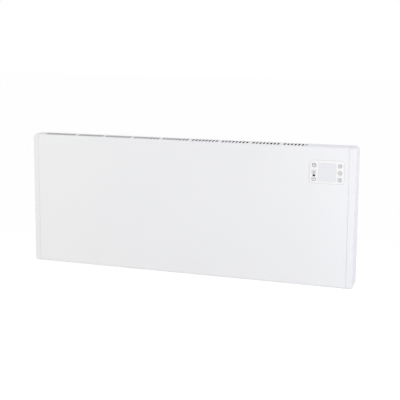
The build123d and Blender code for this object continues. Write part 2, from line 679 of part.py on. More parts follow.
def element_bracket():
    """Folded plate that carries the left ends of the element rods."""
    x1 = ELEMENT_BRACKET_X
    x0 = x1 - SHEET
    low = ELEMENT_LEVELS[0] - ELEMENT_BRACKET_MARGIN
    high = ELEMENT_LEVELS[1] + ELEMENT_BRACKET_MARGIN
    bracket = box(x0, x1, INNER_FRONT_Y + ELEMENT_AIR_GAP, REAR_INNER_Y, low, high)
    bracket += box(x1 - ELEMENT_BRACKET_FLANGE, x1, LIP_INNER_Y, REAR_INNER_Y, low, high)
    for z in ELEMENT_LEVELS:
        bracket -= rod_x(x0 - CUT, x1 + CUT, ELEMENT_Y, z, BUSH_RADIUS + RUN)
    for x, z in frame_rivet_spots():
        if x < 0:
            bracket -= rod_y(LIP_INNER_Y - CUT, REAR_INNER_Y + CUT, x, z, RIVET_RADIUS + RUN)
    return bracket


def element_fins(z):
    """Extruded X-shaped aluminium body of one heating element."""
    arm = (ELEMENT_REACH**2 + ELEMENT_RISE**2) ** 0.5
    section = Circle(ELEMENT_HUB_RADIUS)
    for ends in ((1, 1), (1, -1), (-1, 1), (-1, -1)):
        angle = Vector(ends[0] * ELEMENT_REACH, ends[1] * ELEMENT_RISE).get_signed_angle(Vector(1, 0))
        fin = Pos(arm / 2, 0) * Rectangle(arm, ELEMENT_FIN)
        for share in (0.55, 0.75, 0.95):
            fin += Pos(arm * share, 0) * Rectangle(ELEMENT_RIB, ELEMENT_RIB_LENGTH)
        section += Rot(0, 0, -angle) * fin
    section -= Circle(ROD_RADIUS + RUN)
    x0 = ELEMENT_BRACKET_X + ELEMENT_END_GAP
    x1 = PARTITION_X - ELEMENT_END_GAP
    fins = Pos(x0, ELEMENT_Y, z) * extrude(Plane.YZ * section, amount=x1 - x0)
    count = int((x1 - x0) // ELEMENT_SLIT_PITCH)
    first = (x0 + x1) / 2 - (count - 1) / 2 * ELEMENT_SLIT_PITCH
    near = ELEMENT_HUB_RADIUS + ELEMENT_FIN
    far = ELEMENT_REACH + ELEMENT_AIR_GAP
    tall = ELEMENT_RISE + ELEMENT_AIR_GAP
    for i in range(count):
        x = first + i * ELEMENT_SLIT_PITCH
        for side in (-1, 1):
            y0, y1 = sorted((ELEMENT_Y + side * near, ELEMENT_Y + side * far))
            fins -= box(x, x + ELEMENT_SLIT, y0, y1, z - tall, z + tall)
    return fins


def element_rod(z):
    """Sheathed heating rod inside the fins."""
    return rod_x(ROD_LEFT_X, ROD_RIGHT_X, ELEMENT_Y, z, ROD_RADIUS)


def element_bushes():
    """Ceramic bushes that carry the rods in both plates."""
    bushes = []
    for z in ELEMENT_LEVELS:
        for face, out in ((ELEMENT_BRACKET_X, -1), (PARTITION_X, 1)):
            near = sorted((face, face - out * BUSH_FLANGE))
            through = sorted((face, face + out * (SHEET + BUSH_TAIL)))
            bush = rod_x(*near, ELEMENT_Y, z, BUSH_FLANGE_RADIUS)
            bush += rod_x(*through, ELEMENT_Y, z, BUSH_RADIUS)
            bore = rod_x(near[0] - CUT, near[1] + CUT, ELEMENT_Y, z, ROD_RADIUS + RUN)
            bush -= bore + rod_x(through[0] - CUT, through[1] + CUT, ELEMENT_Y, z, ROD_RADIUS + RUN)
            bushes.append(bush)
    return joined(bushes)


def tab_spots():
    """Level of each element terminal."""
    return [z + k * TAB_OFFSET for z in ELEMENT_LEVELS for k in (-1, 1)]


def element_terminals():
    """Flat terminals at the rod ends."""
    tabs = []
    for z in tab_spots():
        y = (ELEMENT_Y - TAB_WIDTH / 2, ELEMENT_Y + TAB_WIDTH / 2)
        thick = (z - TAB_THICKNESS / 2, z + TAB_THICKNESS / 2)
        tabs.append(box(ROD_RIGHT_X, ROD_RIGHT_X + TAB_LENGTH, *y, *thick))
    return joined(tabs)


def thermal_cutout():
    """Bimetal cut-out on the hot side of the partition."""
    x = PARTITION_X
    body = rod_x(x - CUTOUT_DEPTH, x, MIDDLE_Y, CUTOUT_LEVEL, CUTOUT_RADIUS)
    half = CUTOUT_FLANGE / 2
    wide = CUTOUT_RADIUS / 2
    body += box(x - SHEET, x, MIDDLE_Y - half, MIDDLE_Y + half, CUTOUT_LEVEL - wide, CUTOUT_LEVEL + wide)
    for k in (-1, 1):
        y = MIDDLE_Y + k * CUTOUT_RADIUS / 2
        tab = (y - TAB_THICKNESS / 2, y + TAB_THICKNESS / 2)
        wide = TAB_WIDTH / 2
        start = x - CUTOUT_DEPTH
        body += box(start - TAB_LENGTH, start, *tab, CUTOUT_LEVEL - wide, CUTOUT_LEVEL + wide)
    return body


def fuse_spot():
    """X and Z of the thermal fuse."""
    return PARTITION_X - FUSE_CLIP - FUSE_RADIUS - RUN, CUTOUT_LEVEL + FUSE_RISE


def thermal_fuse():
    """One-shot thermal fuse with its lead ends."""
    x, z = fuse_spot()
    half = FUSE_LENGTH / 2
    fuse = rod_y(MIDDLE_Y - half, MIDDLE_Y + half, x, z, FUSE_RADIUS)
    return fuse + rod_y(MIDDLE_Y - FUSE_LENGTH, MIDDLE_Y + FUSE_LENGTH, x, z, FUSE_RADIUS / 3)


def fuse_clip():
    """Strap that holds the thermal fuse to the partition."""
    x, z = fuse_spot()
    outer = FUSE_RADIUS + RUN + FUSE_CLIP
    half = FUSE_LENGTH / 4
    clip = rod_y(MIDDLE_Y - half, MIDDLE_Y + half, x, z, outer)
    foot = (PARTITION_X - FUSE_CLIP, PARTITION_X)
    clip += box(*foot, MIDDLE_Y - half, MIDDLE_Y + half, z - 3 * outer, z)
    clip &= box(x - outer, PARTITION_X, MIDDLE_Y - half, MIDDLE_Y + half, z - 3 * outer, z + outer)
    return clip - rod_y(MIDDLE_Y - FUSE_LENGTH, MIDDLE_Y + FUSE_LENGTH, x, z, FUSE_RADIUS + RUN)


# Control panel


def control_fascia():
    """Moulded fascia with its window, button holes and board bosses."""
    fascia = plate_y(
        FASCIA_FACE_Y, FRONT_Y, FASCIA_X, FASCIA_Z, FASCIA_WIDTH, FASCIA_HEIGHT, FASCIA_CORNER
    )
    fascia = fillet(fascia.faces().sort_by(Axis.Y)[0].edges(), FASCIA_PROUD / 2)
    width = FASCIA_WIDTH - 2 * FASCIA_RIM
    height = FASCIA_HEIGHT - 2 * FASCIA_RIM
    corner = FASCIA_CORNER - FASCIA_RIM
    fascia += plate_y(FRONT_Y, FASCIA_BACK_Y, FASCIA_X, FASCIA_Z, width, height, corner)
    for x, z in boss_spots():
        fascia += rod_y(FASCIA_BACK_Y, BOARD_Y, x, z, BOSS_RADIUS)
        fascia -= rod_y(FRONT_Y + FASCIA_PROUD, BOARD_Y + CUT, x, z, SMALL_SCREW_RADIUS + RUN)
    through = (FASCIA_FACE_Y - CUT, FASCIA_BACK_Y + CUT)
    fascia -= plate_y(*through, FASCIA_X, KEY_Z, WINDOW_WIDTH, WINDOW_HEIGHT, WINDOW_CORNER)
    for name in KEYS:
        x, z = key_spot(name)
        fascia -= rod_y(*through, x, z, KEY_RADIUS + FIT)
        pocket_y = FASCIA_FACE_Y + KEY_FACE_WALL
        fascia -= rod_y(pocket_y, FASCIA_BACK_Y + CUT, x, z, KEY_FLANGE_RADIUS + FIT)
    return fascia - rod_y(*through, *eye_spot(), EYE_RADIUS + FIT / 2)


def display_window():
    """Clear pane, flush with the fascia."""
    width = WINDOW_WIDTH - FIT
    height = WINDOW_HEIGHT - FIT
    return plate_y(FASCIA_FACE_Y, FASCIA_BACK_Y, FASCIA_X, KEY_Z, width, height, WINDOW_CORNER)


def lcd_plate(y0, y1):
    """Rectangle of the liquid crystal display, a little larger than its window."""
    width = WINDOW_WIDTH + 2 * LCD_MARGIN
    height = WINDOW_HEIGHT + 2 * LCD_MARGIN
    return plate_y(y0, y1, FASCIA_X, KEY_Z, width, height, WINDOW_CORNER / 2)


def button(name):
    """Round key cap with a retaining flange and a stem."""
    x, z = key_spot(name)
    flange_y = KEY_BACK_Y - KEY_FLANGE
    cap = rod_y(FASCIA_FACE_Y - KEY_PROUD, flange_y, x, z, KEY_RADIUS)
    cap = fillet(cap.faces().sort_by(Axis.Y)[0].edges(), KEY_PROUD)
    cap += rod_y(flange_y, KEY_BACK_Y, x, z, KEY_FLANGE_RADIUS)
    tip_y = BOARD_Y - SWITCH_HEIGHT + STEM_ENTRY
    return cap + rod_y(KEY_BACK_Y, tip_y, x, z, KEY_STEM_RADIUS)


def tact_switches():
    """Small push switches on the display board, one behind each button."""
    switches = []
    for name in KEYS:
        x, z = key_spot(name)
        half = SWITCH_CUBE / 2
        top_y = BOARD_Y - SWITCH_HEIGHT
        cube = box(x - half, x + half, top_y, BOARD_Y, z - half, z + half)
        switches.append(cube - rod_y(top_y - CUT, top_y + SWITCH_WELL, x, z, KEY_STEM_RADIUS + 2 * RUN))
    return joined(switches)


def display_board():
    """Printed circuit board behind the fascia."""
    width = FASCIA_WIDTH - 2 * BOARD_MARGIN
    height = FASCIA_HEIGHT - 2 * BOARD_MARGIN
    board = plate_y(BOARD_Y, BOARD_Y + BOARD, FASCIA_X, FASCIA_Z, width, height, BOARD)
    for x, z in boss_spots():
        board -= rod_y(BOARD_Y - CUT, BOARD_Y + BOARD + CUT, x, z, SMALL_SCREW_RADIUS + RUN)
    return board


def infrared_window():
    """Dark round window of the infrared receiver."""
    return rod_y(FASCIA_FACE_Y, FASCIA_FACE_Y + EYE_THICKNESS, *eye_spot(), EYE_RADIUS)


def infrared_receiver():
    """Receiver that stands on the display board behind its window."""
    x, z = eye_spot()
    tip_y = FASCIA_BACK_Y + RECEIVER_GAP
    half_x = RECEIVER_WIDTH / 2
    half_z = RECEIVER_HEIGHT / 2
    block = box(x - half_x, x + half_x, tip_y, BOARD_Y, z - half_z, z + half_z)
    return fillet(block.faces().sort_by(Axis.Y)[0].edges(), FIT)


def display_housing():
    """Moulded tray that closes the display from behind."""
    width = FASCIA_WIDTH + 2 * HOUSING_MARGIN
    height = FASCIA_HEIGHT + 2 * HOUSING_MARGIN
    place = (FASCIA_X, FASCIA_Z)
    tray = plate_y(INNER_FRONT_Y, HOUSING_BACK_Y, *place, width, height, FASCIA_CORNER)
    inner = (width - 2 * HOUSING_WALL, height - 2 * HOUSING_WALL, FASCIA_CORNER - HOUSING_WALL)
    tray -= plate_y(INNER_FRONT_Y - CUT, HOUSING_BACK_Y - HOUSING_WALL, *place, *inner)
    for x, z in boss_spots():
        tray += rod_y(BOARD_Y + BOARD, HOUSING_BACK_Y - HOUSING_WALL, x, z, BOSS_RADIUS)
        tray -= rod_y(BOARD_Y, HOUSING_BACK_Y + CUT, x, z, SMALL_SCREW_RADIUS + RUN)
    half = RIBBON_WIDTH / 2 + 2 * FIT
    exit_y = ribbon_start_y()
    low = HOUSING_LOW_Z - CUT
    exit_size = (exit_y - RIBBON, exit_y + RIBBON)
    return tray - box(BAY_X - half, BAY_X + half, *exit_size, low, HOUSING_LOW_Z + HOUSING_WALL + CUT)


def housing_screws():
    """Small screws through the tray and the board into the fascia."""
    size = (SMALL_SCREW_RADIUS, SMALL_HEAD_RADIUS, SMALL_HEAD_HEIGHT)
    length = HOUSING_BACK_Y - BOARD_Y + BOARD_GAP / 2
    return joined(screw_y(x, z, HOUSING_BACK_Y, length, *size) for x, z in boss_spots())


def ribbon_start_y():
    """Y of the ribbon behind the display board."""
    return BOARD_Y + BOARD + HEADER_HEIGHT / 2


def display_ribbon():
    """Flat cable from the display board down to the power board."""
    start_y = ribbon_start_y()
    end_y = POWER_BOARD_Y - HEADER_DEPTH / 2
    start_z = HOUSING_LOW_Z + HOUSING_WALL + RIBBON_WIDTH
    turn_z = HOUSING_LOW_Z - POWER_BOARD_DROP / 2
    path = FilletPolyline(
        (BAY_X, start_y, start_z),
        (BAY_X, start_y, turn_z),
        (BAY_X, end_y, turn_z),
        (BAY_X, end_y, header_top()),
        radius=RIBBON_BEND,
    )
    section = Plane(origin=path @ 0, z_dir=path % 0, x_dir=(1, 0, 0)) * Rectangle(RIBBON_WIDTH, RIBBON)
    return sweep(section, path=path)


def display_header():
    """Connector behind the display board that holds the ribbon's upper end."""
    start_z = HOUSING_LOW_Z + HOUSING_WALL + RIBBON_WIDTH
    half = HEADER_WIDTH / 2
    y = (BOARD_Y + BOARD, BOARD_Y + BOARD + HEADER_HEIGHT)
    return box(BAY_X - half, BAY_X + half, *y, start_z, start_z + HEADER_HEIGHT)


# Power electronics


def power_board():
    """Printed circuit board that carries the mains side."""
    place = (BAY_X, POWER_BOARD_Z, POWER_BOARD_WIDTH, POWER_BOARD_HEIGHT, BOARD)
    board = plate_y(POWER_BOARD_Y, POWER_BOARD_Y + BOARD, *place)
    for x, z in standoff_spots():
        board -= rod_y(POWER_BOARD_Y - CUT, POWER_BOARD_Y + BOARD + CUT, x, z, SMALL_SCREW_RADIUS + RUN)
    return board


def board_standoffs():
    """Spacers between the rear panel and the power board."""
    posts = []
    for x, z in standoff_spots():
        y = (POWER_BOARD_Y + BOARD, REAR_INNER_Y)
        bore = rod_y(y[0] - CUT, y[1] + CUT, x, z, SMALL_SCREW_RADIUS + RUN)
        posts.append(rod_y(*y, x, z, STANDOFF_RADIUS) - bore)
    return joined(posts)


def board_screws():
    """Screws from the rear panel through the spacers, each with a nut on the board."""
    screws = []
    size = (SMALL_SCREW_RADIUS, SMALL_HEAD_RADIUS, SMALL_HEAD_HEIGHT)
    for x, z in standoff_spots():
        length = REAR_Y - POWER_BOARD_Y + 2 * SMALL_HEAD_HEIGHT
        nut = Plane.XZ * hexagon(SMALL_HEAD_RADIUS)
        nut = Pos(x, POWER_BOARD_Y, z) * extrude(nut, amount=SMALL_HEAD_HEIGHT)
        screws.append(screw_y(x, z, REAR_Y, length, *size) + nut)
    return joined(screws)


def board_block(x, z, width, height, depth):
    """Component that stands on the power board."""
    front_y = POWER_BOARD_Y - depth
    block = box(x - width / 2, x + width / 2, front_y, POWER_BOARD_Y, z - height / 2, z + height / 2)
    return fillet(block.faces().sort_by(Axis.Y)[0].edges(), 2 * FIT)


def relay_row_z():
    """Level of the relays, above the lead sockets."""
    return POWER_BOARD_BOTTOM + STANDOFF_INSET + SOCKET_HEIGHT + RELAY_HEIGHT / 2 + STANDOFF_RADIUS


def power_relays():
    """Two relays, one for each heating element."""
    z = relay_row_z()
    size = (RELAY_WIDTH, RELAY_HEIGHT, RELAY_DEPTH)
    return joined(board_block(BAY_X + i * RELAY_SPACING / 2, z, *size) for i in (-1, 1))


def supply_transformer():
    """Transformer of the low voltage supply."""
    x = BAY_X - POWER_BOARD_WIDTH / 2 + STANDOFF_INSET + TRANSFORMER_WIDTH / 2
    z = relay_row_z() + RELAY_HEIGHT / 2 + TRANSFORMER_HEIGHT / 2 + STANDOFF_RADIUS
    return board_block(x, z, TRANSFORMER_WIDTH, TRANSFORMER_HEIGHT, TRANSFORMER_DEPTH)


def supply_capacitors():
    """Two round capacitors beside the transformer."""
    x = BAY_X + CAPACITOR_SPACING
    z = relay_row_z() + RELAY_HEIGHT / 2 + TRANSFORMER_HEIGHT / 2 + STANDOFF_RADIUS
    y = (POWER_BOARD_Y - CAPACITOR_DEPTH, POWER_BOARD_Y)
    cans = []
    for i in (0, 1):
        can = rod_y(*y, x + i * CAPACITOR_SPACING, z, CAPACITOR_RADIUS)
        cans.append(fillet(can.faces().sort_by(Axis.Y)[0].edges(), 2 * FIT))
    return joined(cans)


def mains_fuse():
    """Glass fuse that lies in its two clips."""
    x = BAY_X + POWER_BOARD_WIDTH / 2 - STANDOFF_INSET
    z = relay_row_z() + RELAY_HEIGHT / 2
    y = POWER_BOARD_Y - GLASS_FUSE_LIFT - GLASS_FUSE_RADIUS
    half = GLASS_FUSE_LENGTH / 2
    return rod_z(z - half, z + half, x, y, GLASS_FUSE_RADIUS)


def fuse_holders():
    """Two clips of the glass fuse."""
    x = BAY_X + POWER_BOARD_WIDTH / 2 - STANDOFF_INSET
    wide = GLASS_FUSE_RADIUS + GLASS_FUSE_LIFT
    y = (POWER_BOARD_Y - GLASS_FUSE_LIFT - GLASS_FUSE_RADIUS, POWER_BOARD_Y)
    middle = relay_row_z() + RELAY_HEIGHT / 2
    clips = []
    for k in (-1, 1):
        z = middle + k * GLASS_FUSE_LENGTH * 0.36
        clip = box(x - wide, x + wide, *y, z - wide / 2, z + wide / 2)
        hollow = rod_z(z - wide, z + wide, x, y[0], GLASS_FUSE_RADIUS + RUN)
        clips.append(clip - hollow)
    return joined(clips)


def header_top():
    """Level of the ribbon connector's upper face on the power board."""
    return POWER_BOARD_TOP - STANDOFF_INSET / 2


def ribbon_header():
    """Connector for the ribbon on the power board."""
    z = header_top() - HEADER_HEIGHT / 2
    half = HEADER_WIDTH / 2
    y = (POWER_BOARD_Y - HEADER_DEPTH, POWER_BOARD_Y)
    return box(BAY_X - half, BAY_X + half, *y, z - HEADER_HEIGHT / 2, z + HEADER_HEIGHT / 2)


def socket_spots():
    """X of the lead sockets on the power board, the mains sockets first."""
    count = MAINS_SOCKETS + ELEMENT_SOCKETS
    return [BAY_X + (i - (count - 1) / 2) * SOCKET_PITCH for i in range(count)]


def board_connectors():
    """Both ribbon connectors, and the lead sockets along the lower edge of the power board."""
    z = POWER_BOARD_BOTTOM + SOCKET_HEIGHT / 2
    size = (SOCKET_WIDTH, SOCKET_HEIGHT, SOCKET_DEPTH)
    sockets = [board_block(x, z, *size) for x in socket_spots()]
    return joined(sockets + [display_header(), ribbon_header()])


def radio_module():
    """Small radio board with a shielding can, flat on the power board."""
    x = BAY_X + RADIO_WIDTH + FIT
    z = header_top() - HEADER_HEIGHT - RADIO_HEIGHT / 2 - FIT
    module = board_block(x, z, RADIO_WIDTH, RADIO_HEIGHT, BOARD)
    can_y = POWER_BOARD_Y - BOARD
    half = RADIO_CAN / 2
    can = box(x - half, x + half, can_y - RADIO_CAN_DEPTH, can_y, z - half, z + half)
    return module + fillet(can.faces().sort_by(Axis.Y)[0].edges(), FIT)


def terminal_block():
    """Three-pole mains terminal block on the rear panel."""
    half = TERMINAL_WIDTH / 2
    tall = TERMINAL_HEIGHT / 2
    y = (REAR_INNER_Y - TERMINAL_DEPTH, REAR_INNER_Y)
    block = box(BAY_X - half, BAY_X + half, *y, TERMINAL_Z - tall, TERMINAL_Z + tall)
    block = fillet(block.edges().filter_by(Axis.Y), 2 * FIT)
    for i in (-1, 0, 1):
        x = BAY_X + i * TERMINAL_POLE_PITCH
        wire_y = y[0] + TERMINAL_DEPTH * WIRE_WAY
        block -= rod_z(TERMINAL_Z - tall - CUT, TERMINAL_Z + tall + CUT, x, wire_y, 2 * LEAD_RADIUS)
        block -= rod_y(y[0] - CUT, wire_y, x, TERMINAL_Z, LEAD_RADIUS * 1.6 + RUN)
    return block - rod_y(wire_y, REAR_INNER_Y + CUT, BAY_X, TERMINAL_Z, SMALL_SCREW_RADIUS + RUN)


def terminal_screws():
    """Clamping screws of the terminal block."""
    screws = []
    y0 = REAR_INNER_Y - TERMINAL_DEPTH
    for i in (-1, 0, 1):
        x = BAY_X + i * TERMINAL_POLE_PITCH
        screw = rod_y(y0 + FIT, y0 + TERMINAL_DEPTH * 0.4, x, TERMINAL_Z, LEAD_RADIUS * 1.6)
        low, high = TERMINAL_Z - FIT, TERMINAL_Z + FIT
        screws.append(screw - box(x - 2 * LEAD_RADIUS, x + 2 * LEAD_RADIUS, y0, y0 + 4 * FIT, low, high))
    return joined(screws)


def terminal_fixing():
    """Screw that holds the terminal block to the rear panel."""
    size = (SMALL_SCREW_RADIUS, SMALL_HEAD_RADIUS, SMALL_HEAD_HEIGHT)
    return screw_y(BAY_X, TERMINAL_Z, REAR_Y, SHEET + TERMINAL_DEPTH / 5, *size)


def lead(points, bend):
    """Round insulated wire along straight runs and arcs."""
    path = FilletPolyline(*points, radius=bend)
    return sweep(Plane(origin=path @ 0, z_dir=path % 0) * Circle(LEAD_RADIUS), path=path)


def element_leads():
    """Wires from the element terminals to the sockets of the power board."""
    start = ROD_RIGHT_X + TAB_LENGTH
    socket_y = POWER_BOARD_Y - SOCKET_DEPTH / 2
    leads = []
    for x, z in zip(socket_spots()[MAINS_SOCKETS:], reversed(tab_spots())):
        points = (
            (start, ELEMENT_Y, z),
            (x, ELEMENT_Y, z),
            (x, socket_y, POWER_BOARD_BOTTOM - LEAD_DROP),
            (x, socket_y, POWER_BOARD_BOTTOM),
        )
        leads.append(lead(points, LEAD_BEND))
    return joined(leads)


def mains_leads():
    """Wires from the main switch to the power board and the terminal block, and the earth wire."""
    lug_z = -TOP_Z + SWITCH_DEPTH + LUG_LENGTH
    block_y = REAR_INNER_Y - TERMINAL_DEPTH * (1 - WIRE_WAY)
    block_z = TERMINAL_Z - TERMINAL_HEIGHT / 2 + LEAD_ENTRY
    front_y, rear_y = MIDDLE_Y - LUG_PITCH / 2, MIDDLE_Y + LUG_PITCH / 2
    socket_y = POWER_BOARD_Y - SOCKET_DEPTH / 2
    leads = []
    for i in (0, 1):
        lug_x = SWITCH_X + (i - 0.5) * LUG_PITCH
        pole_x = BAY_X + i * TERMINAL_POLE_PITCH
        socket_x = socket_spots()[i]
        turn_z = lug_z + LEAD_RISE + i * LEAD_BEND * 0.8
        rise_y = rear_y - LEAD_RADIUS * 2
        to_board = (
            (lug_x, front_y, lug_z),
            (lug_x, front_y, turn_z),
            (socket_x, rise_y, turn_z),
            (socket_x, rise_y, POWER_BOARD_BOTTOM - 2 * LEAD_DROP),
            (socket_x, socket_y, POWER_BOARD_BOTTOM - LEAD_DROP),
            (socket_x, socket_y, POWER_BOARD_BOTTOM),
        )
        to_block = (
            (lug_x, rear_y, lug_z),
            (lug_x, rear_y, lug_z + LEAD_RISE),
            (pole_x, block_y, lug_z + LEAD_RISE),
            (pole_x, block_y, block_z),
        )
        leads += [lead(to_board, LEAD_BEND), lead(to_block, LEAD_BEND)]
    earth_x = PARTITION_X + EARTH_LENGTH
    earth_z = -TOP_Z + EARTH_LEVEL
    pole_x = BAY_X - TERMINAL_POLE_PITCH
    to_earth = (
        (pole_x, block_y, block_z),
        (pole_x, block_y, lug_z + LEAD_RISE),
        (earth_x + LEAD_RISE, MIDDLE_Y, earth_z),
        (earth_x, MIDDLE_Y, earth_z),
    )
    return joined(leads + [lead(to_earth, LEAD_BEND)])


# Underside


def switch_housing():
    """Body of the main switch, with its rim under the casing."""
    x, y = SWITCH_X, MIDDLE_Y
    half_x, half_y = SWITCH_LENGTH / 2, SWITCH_WIDTH / 2
    low = -TOP_Z - SWITCH_RIM_DEPTH
    body = box(x - half_x, x + half_x, y - half_y, y + half_y, -TOP_Z, -TOP_Z + SWITCH_DEPTH)
    rim_x, rim_y = half_x + SWITCH_RIM, half_y + SWITCH_RIM
    rim = box(x - rim_x, x + rim_x, y - rim_y, y + rim_y, low, -TOP_Z)
    rim = fillet(rim.edges().filter_by(Axis.Z), SWITCH_RIM)
    body += fillet(rim.faces().sort_by(Axis.Z)[0].edges(), SWITCH_RIM_DEPTH / 3)
    well_x = ROCKER_RADIUS + ROCKER_END_GAP
    well_y = half_y - SWITCH_WALL
    ceiling = ROCKER_PIVOT_Z + ROCKER_HEADROOM
    body -= box(x - well_x, x + well_x, y - well_y, y + well_y, low - CUT, ceiling)
    pin = well_y + PIN_LENGTH + FIT
    return body - rod_y(y - pin, y + pin, x, ROCKER_PIVOT_Z, PIN_RADIUS + RUN)


def switch_rocker():
    """Rocker of the main switch, shown off."""
    outline = Polyline(
        (-ROCKER_RADIUS, -ROCKER_END),
        (0, -ROCKER_MID),
        (ROCKER_RADIUS, -ROCKER_END),
        (ROCKER_RADIUS, ROCKER_BACK),
        (-ROCKER_RADIUS, ROCKER_BACK),
        close=True,
    )
    section = make_face(outline) & Circle(ROCKER_RADIUS)
    half = SWITCH_WIDTH / 2 - SWITCH_WALL - ROCKER_SIDE_GAP
    rocker = Pos(0, half, 0) * extrude(Plane.XZ * section, amount=2 * half)
    pin = half + ROCKER_SIDE_GAP + PIN_LENGTH
    rocker += rod_y(-pin, pin, 0, 0, PIN_RADIUS)
    return Pos(SWITCH_X, MIDDLE_Y, ROCKER_PIVOT_Z) * Rot(0, -ROCKER_THROW / 2, 0) * rocker


def switch_lugs():
    """Blade terminals on the back of the main switch."""
    lugs = []
    z0 = -TOP_Z + SWITCH_DEPTH
    for i in (-0.5, 0.5):
        for k in (-0.5, 0.5):
            x = SWITCH_X + i * LUG_PITCH
            y = MIDDLE_Y + k * LUG_PITCH
            half = TAB_THICKNESS / 2
            wide = LUG_WIDTH / 2
            lugs.append(box(x - half, x + half, y - wide, y + wide, z0, z0 + LUG_LENGTH))
    return joined(lugs)


def cord_gland():
    """Bush that a supply cord passes through, with its flange under the casing."""
    top = -TOP_Z + GLAND_LENGTH
    low = -TOP_Z - GLAND_FLANGE
    gland = rod_z(low, -TOP_Z, GLAND_X, MIDDLE_Y, GLAND_FLANGE_RADIUS)
    gland = fillet(gland.faces().sort_by(Axis.Z)[0].edges(), GLAND_FLANGE / 3)
    gland += rod_z(-TOP_Z, top, GLAND_X, MIDDLE_Y, GLAND_RADIUS)
    return gland - rod_z(low - CUT, top + CUT, GLAND_X, MIDDLE_Y, GLAND_BORE_RADIUS)


def gland_nut():
    """Nut that holds the gland from inside."""
    nut = extrude(hexagon(GLAND_FLANGE_RADIUS), amount=GLAND_NUT)
    nut = Pos(GLAND_X, MIDDLE_Y, -INNER_TOP_Z) * nut
    low, high = -INNER_TOP_Z - CUT, -INNER_TOP_Z + GLAND_NUT + CUT
    return nut - rod_z(low, high, GLAND_X, MIDDLE_Y, GLAND_RADIUS + RUN)


def room_sensor():
    """Temperature probe that looks out under the control bay."""
    low = -TOP_Z - PROBE_PROUD
    probe = rod_z(low, low + PROBE_LENGTH, PROBE_X, MIDDLE_Y, PROBE_RADIUS)
    return fillet(probe.faces().sort_by(Axis.Z)[0].edges(), PROBE_RADIUS * 0.6)


def sensor_collar():
    """Snap collar that seats the probe on the casing."""
    z0 = -INNER_TOP_Z
    collar = rod_z(z0, z0 + PROBE_LENGTH / 3, PROBE_X, MIDDLE_Y, PROBE_RADIUS + PROBE_COLLAR)
    return collar - rod_z(z0 - CUT, z0 + PROBE_LENGTH, PROBE_X, MIDDLE_Y, PROBE_RADIUS + RUN)


def earth_stud():
    """Threaded stud through the partition."""
    z = -TOP_Z + EARTH_LEVEL
    head_x = PARTITION_X - EARTH_NUT / 2
    stud = rod_x(head_x, PARTITION_X, MIDDLE_Y, z, EARTH_RADIUS + EARTH_NUT_LIP)
    return stud + rod_x(PARTITION_X, PARTITION_X + EARTH_LENGTH, MIDDLE_Y, z, EARTH_RADIUS)


def earth_nut():
    """Nut on the earth stud."""
    z = -TOP_Z + EARTH_LEVEL
    x = PARTITION_X + SHEET
    nut = Pos(x, MIDDLE_Y, z) * extrude(Plane.YZ * hexagon(EARTH_RADIUS + EARTH_NUT_LIP), amount=EARTH_NUT)
    return nut - rod_x(x - CUT, x + EARTH_NUT + CUT, MIDDLE_Y, z, EARTH_RADIUS + RUN)


def heater_nodes():
    """Every node of the heater by name."""
    right_cap = end_cap()
    nodes = {
        "left_wall_bracket": wall_bracket(-BRACKET_SPACING / 2),
        "right_wall_bracket": wall_bracket(BRACKET_SPACING / 2),
        "front_panel": front_panel(),
        "rear_panel": rear_panel(),
        "left_end_cap": mirror(right_cap, about=Plane.YZ),
        "right_end_cap": right_cap,
        "casing_screws": rear_screws(casing_screw_spots() + ear_spots()),
        "control_bay_partition": control_bay_partition(),
        "rear_heat_shield": rear_heat_shield(),
        "element_bracket": element_bracket(),
        "rear_panel_rivets": rear_rivets(shield_rivet_spots() + frame_rivet_spots()),
        "lower_element_fins": element_fins(ELEMENT_LEVELS[0]),
        "upper_element_fins": element_fins(ELEMENT_LEVELS[1]),
        "lower_element_rod": element_rod(ELEMENT_LEVELS[0]),
        "upper_element_rod": element_rod(ELEMENT_LEVELS[1]),
        "element_bushes": element_bushes(),
        "element_terminals": element_terminals(),
        "element_leads": element_leads(),
        "mains_leads": mains_leads(),
        "thermal_cutout": thermal_cutout(),
        "thermal_fuse": thermal_fuse(),
        "fuse_clip": fuse_clip(),
        "control_fascia": control_fascia(),
        "display_window": display_window(),
        "display_glass": lcd_plate(FASCIA_BACK_Y, FASCIA_BACK_Y + LCD_THICKNESS),
        "display_backlight": lcd_plate(FASCIA_BACK_Y + LCD_THICKNESS, BOARD_Y),
        "display_board": display_board(),
        "display_ribbon": display_ribbon(),
        "display_housing": display_housing(),
        "housing_screws": housing_screws(),
        "tact_switches": tact_switches(),
        "infrared_window": infrared_window(),
        "infrared_receiver": infrared_receiver(),
        "power_board": power_board(),
        "board_standoffs": board_standoffs(),
        "board_screws": board_screws(),
        "power_relays": power_relays(),
        "supply_transformer": supply_transformer(),
        "supply_capacitors": supply_capacitors(),
        "mains_fuse": mains_fuse(),
        "fuse_holders": fuse_holders(),
        "board_connectors": board_connectors(),
        "radio_module": radio_module(),
        "terminal_block": terminal_block(),
        "terminal_screws": joined([terminal_screws(), terminal_fixing()]),
        "switch_housing": switch_housing(),
        "switch_rocker": switch_rocker(),
        "switch_lugs": switch_lugs(),
        "cord_gland": cord_gland(),
        "gland_nut": gland_nut(),
        "room_sensor": room_sensor(),
        "sensor_collar": sensor_collar(),
        "earth_stud": earth_stud(),
        "earth_nut": earth_nut(),
    }
    for name in KEYS:
        nodes[name] = button(name)
    return nodes


os.makedirs("parts", exist_ok=True)
for node, solid in heater_nodes().items():
    export_step(solid, f"parts/{node}.step")
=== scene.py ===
import math

import bmesh
import bpy
from mathutils import Matrix, Vector


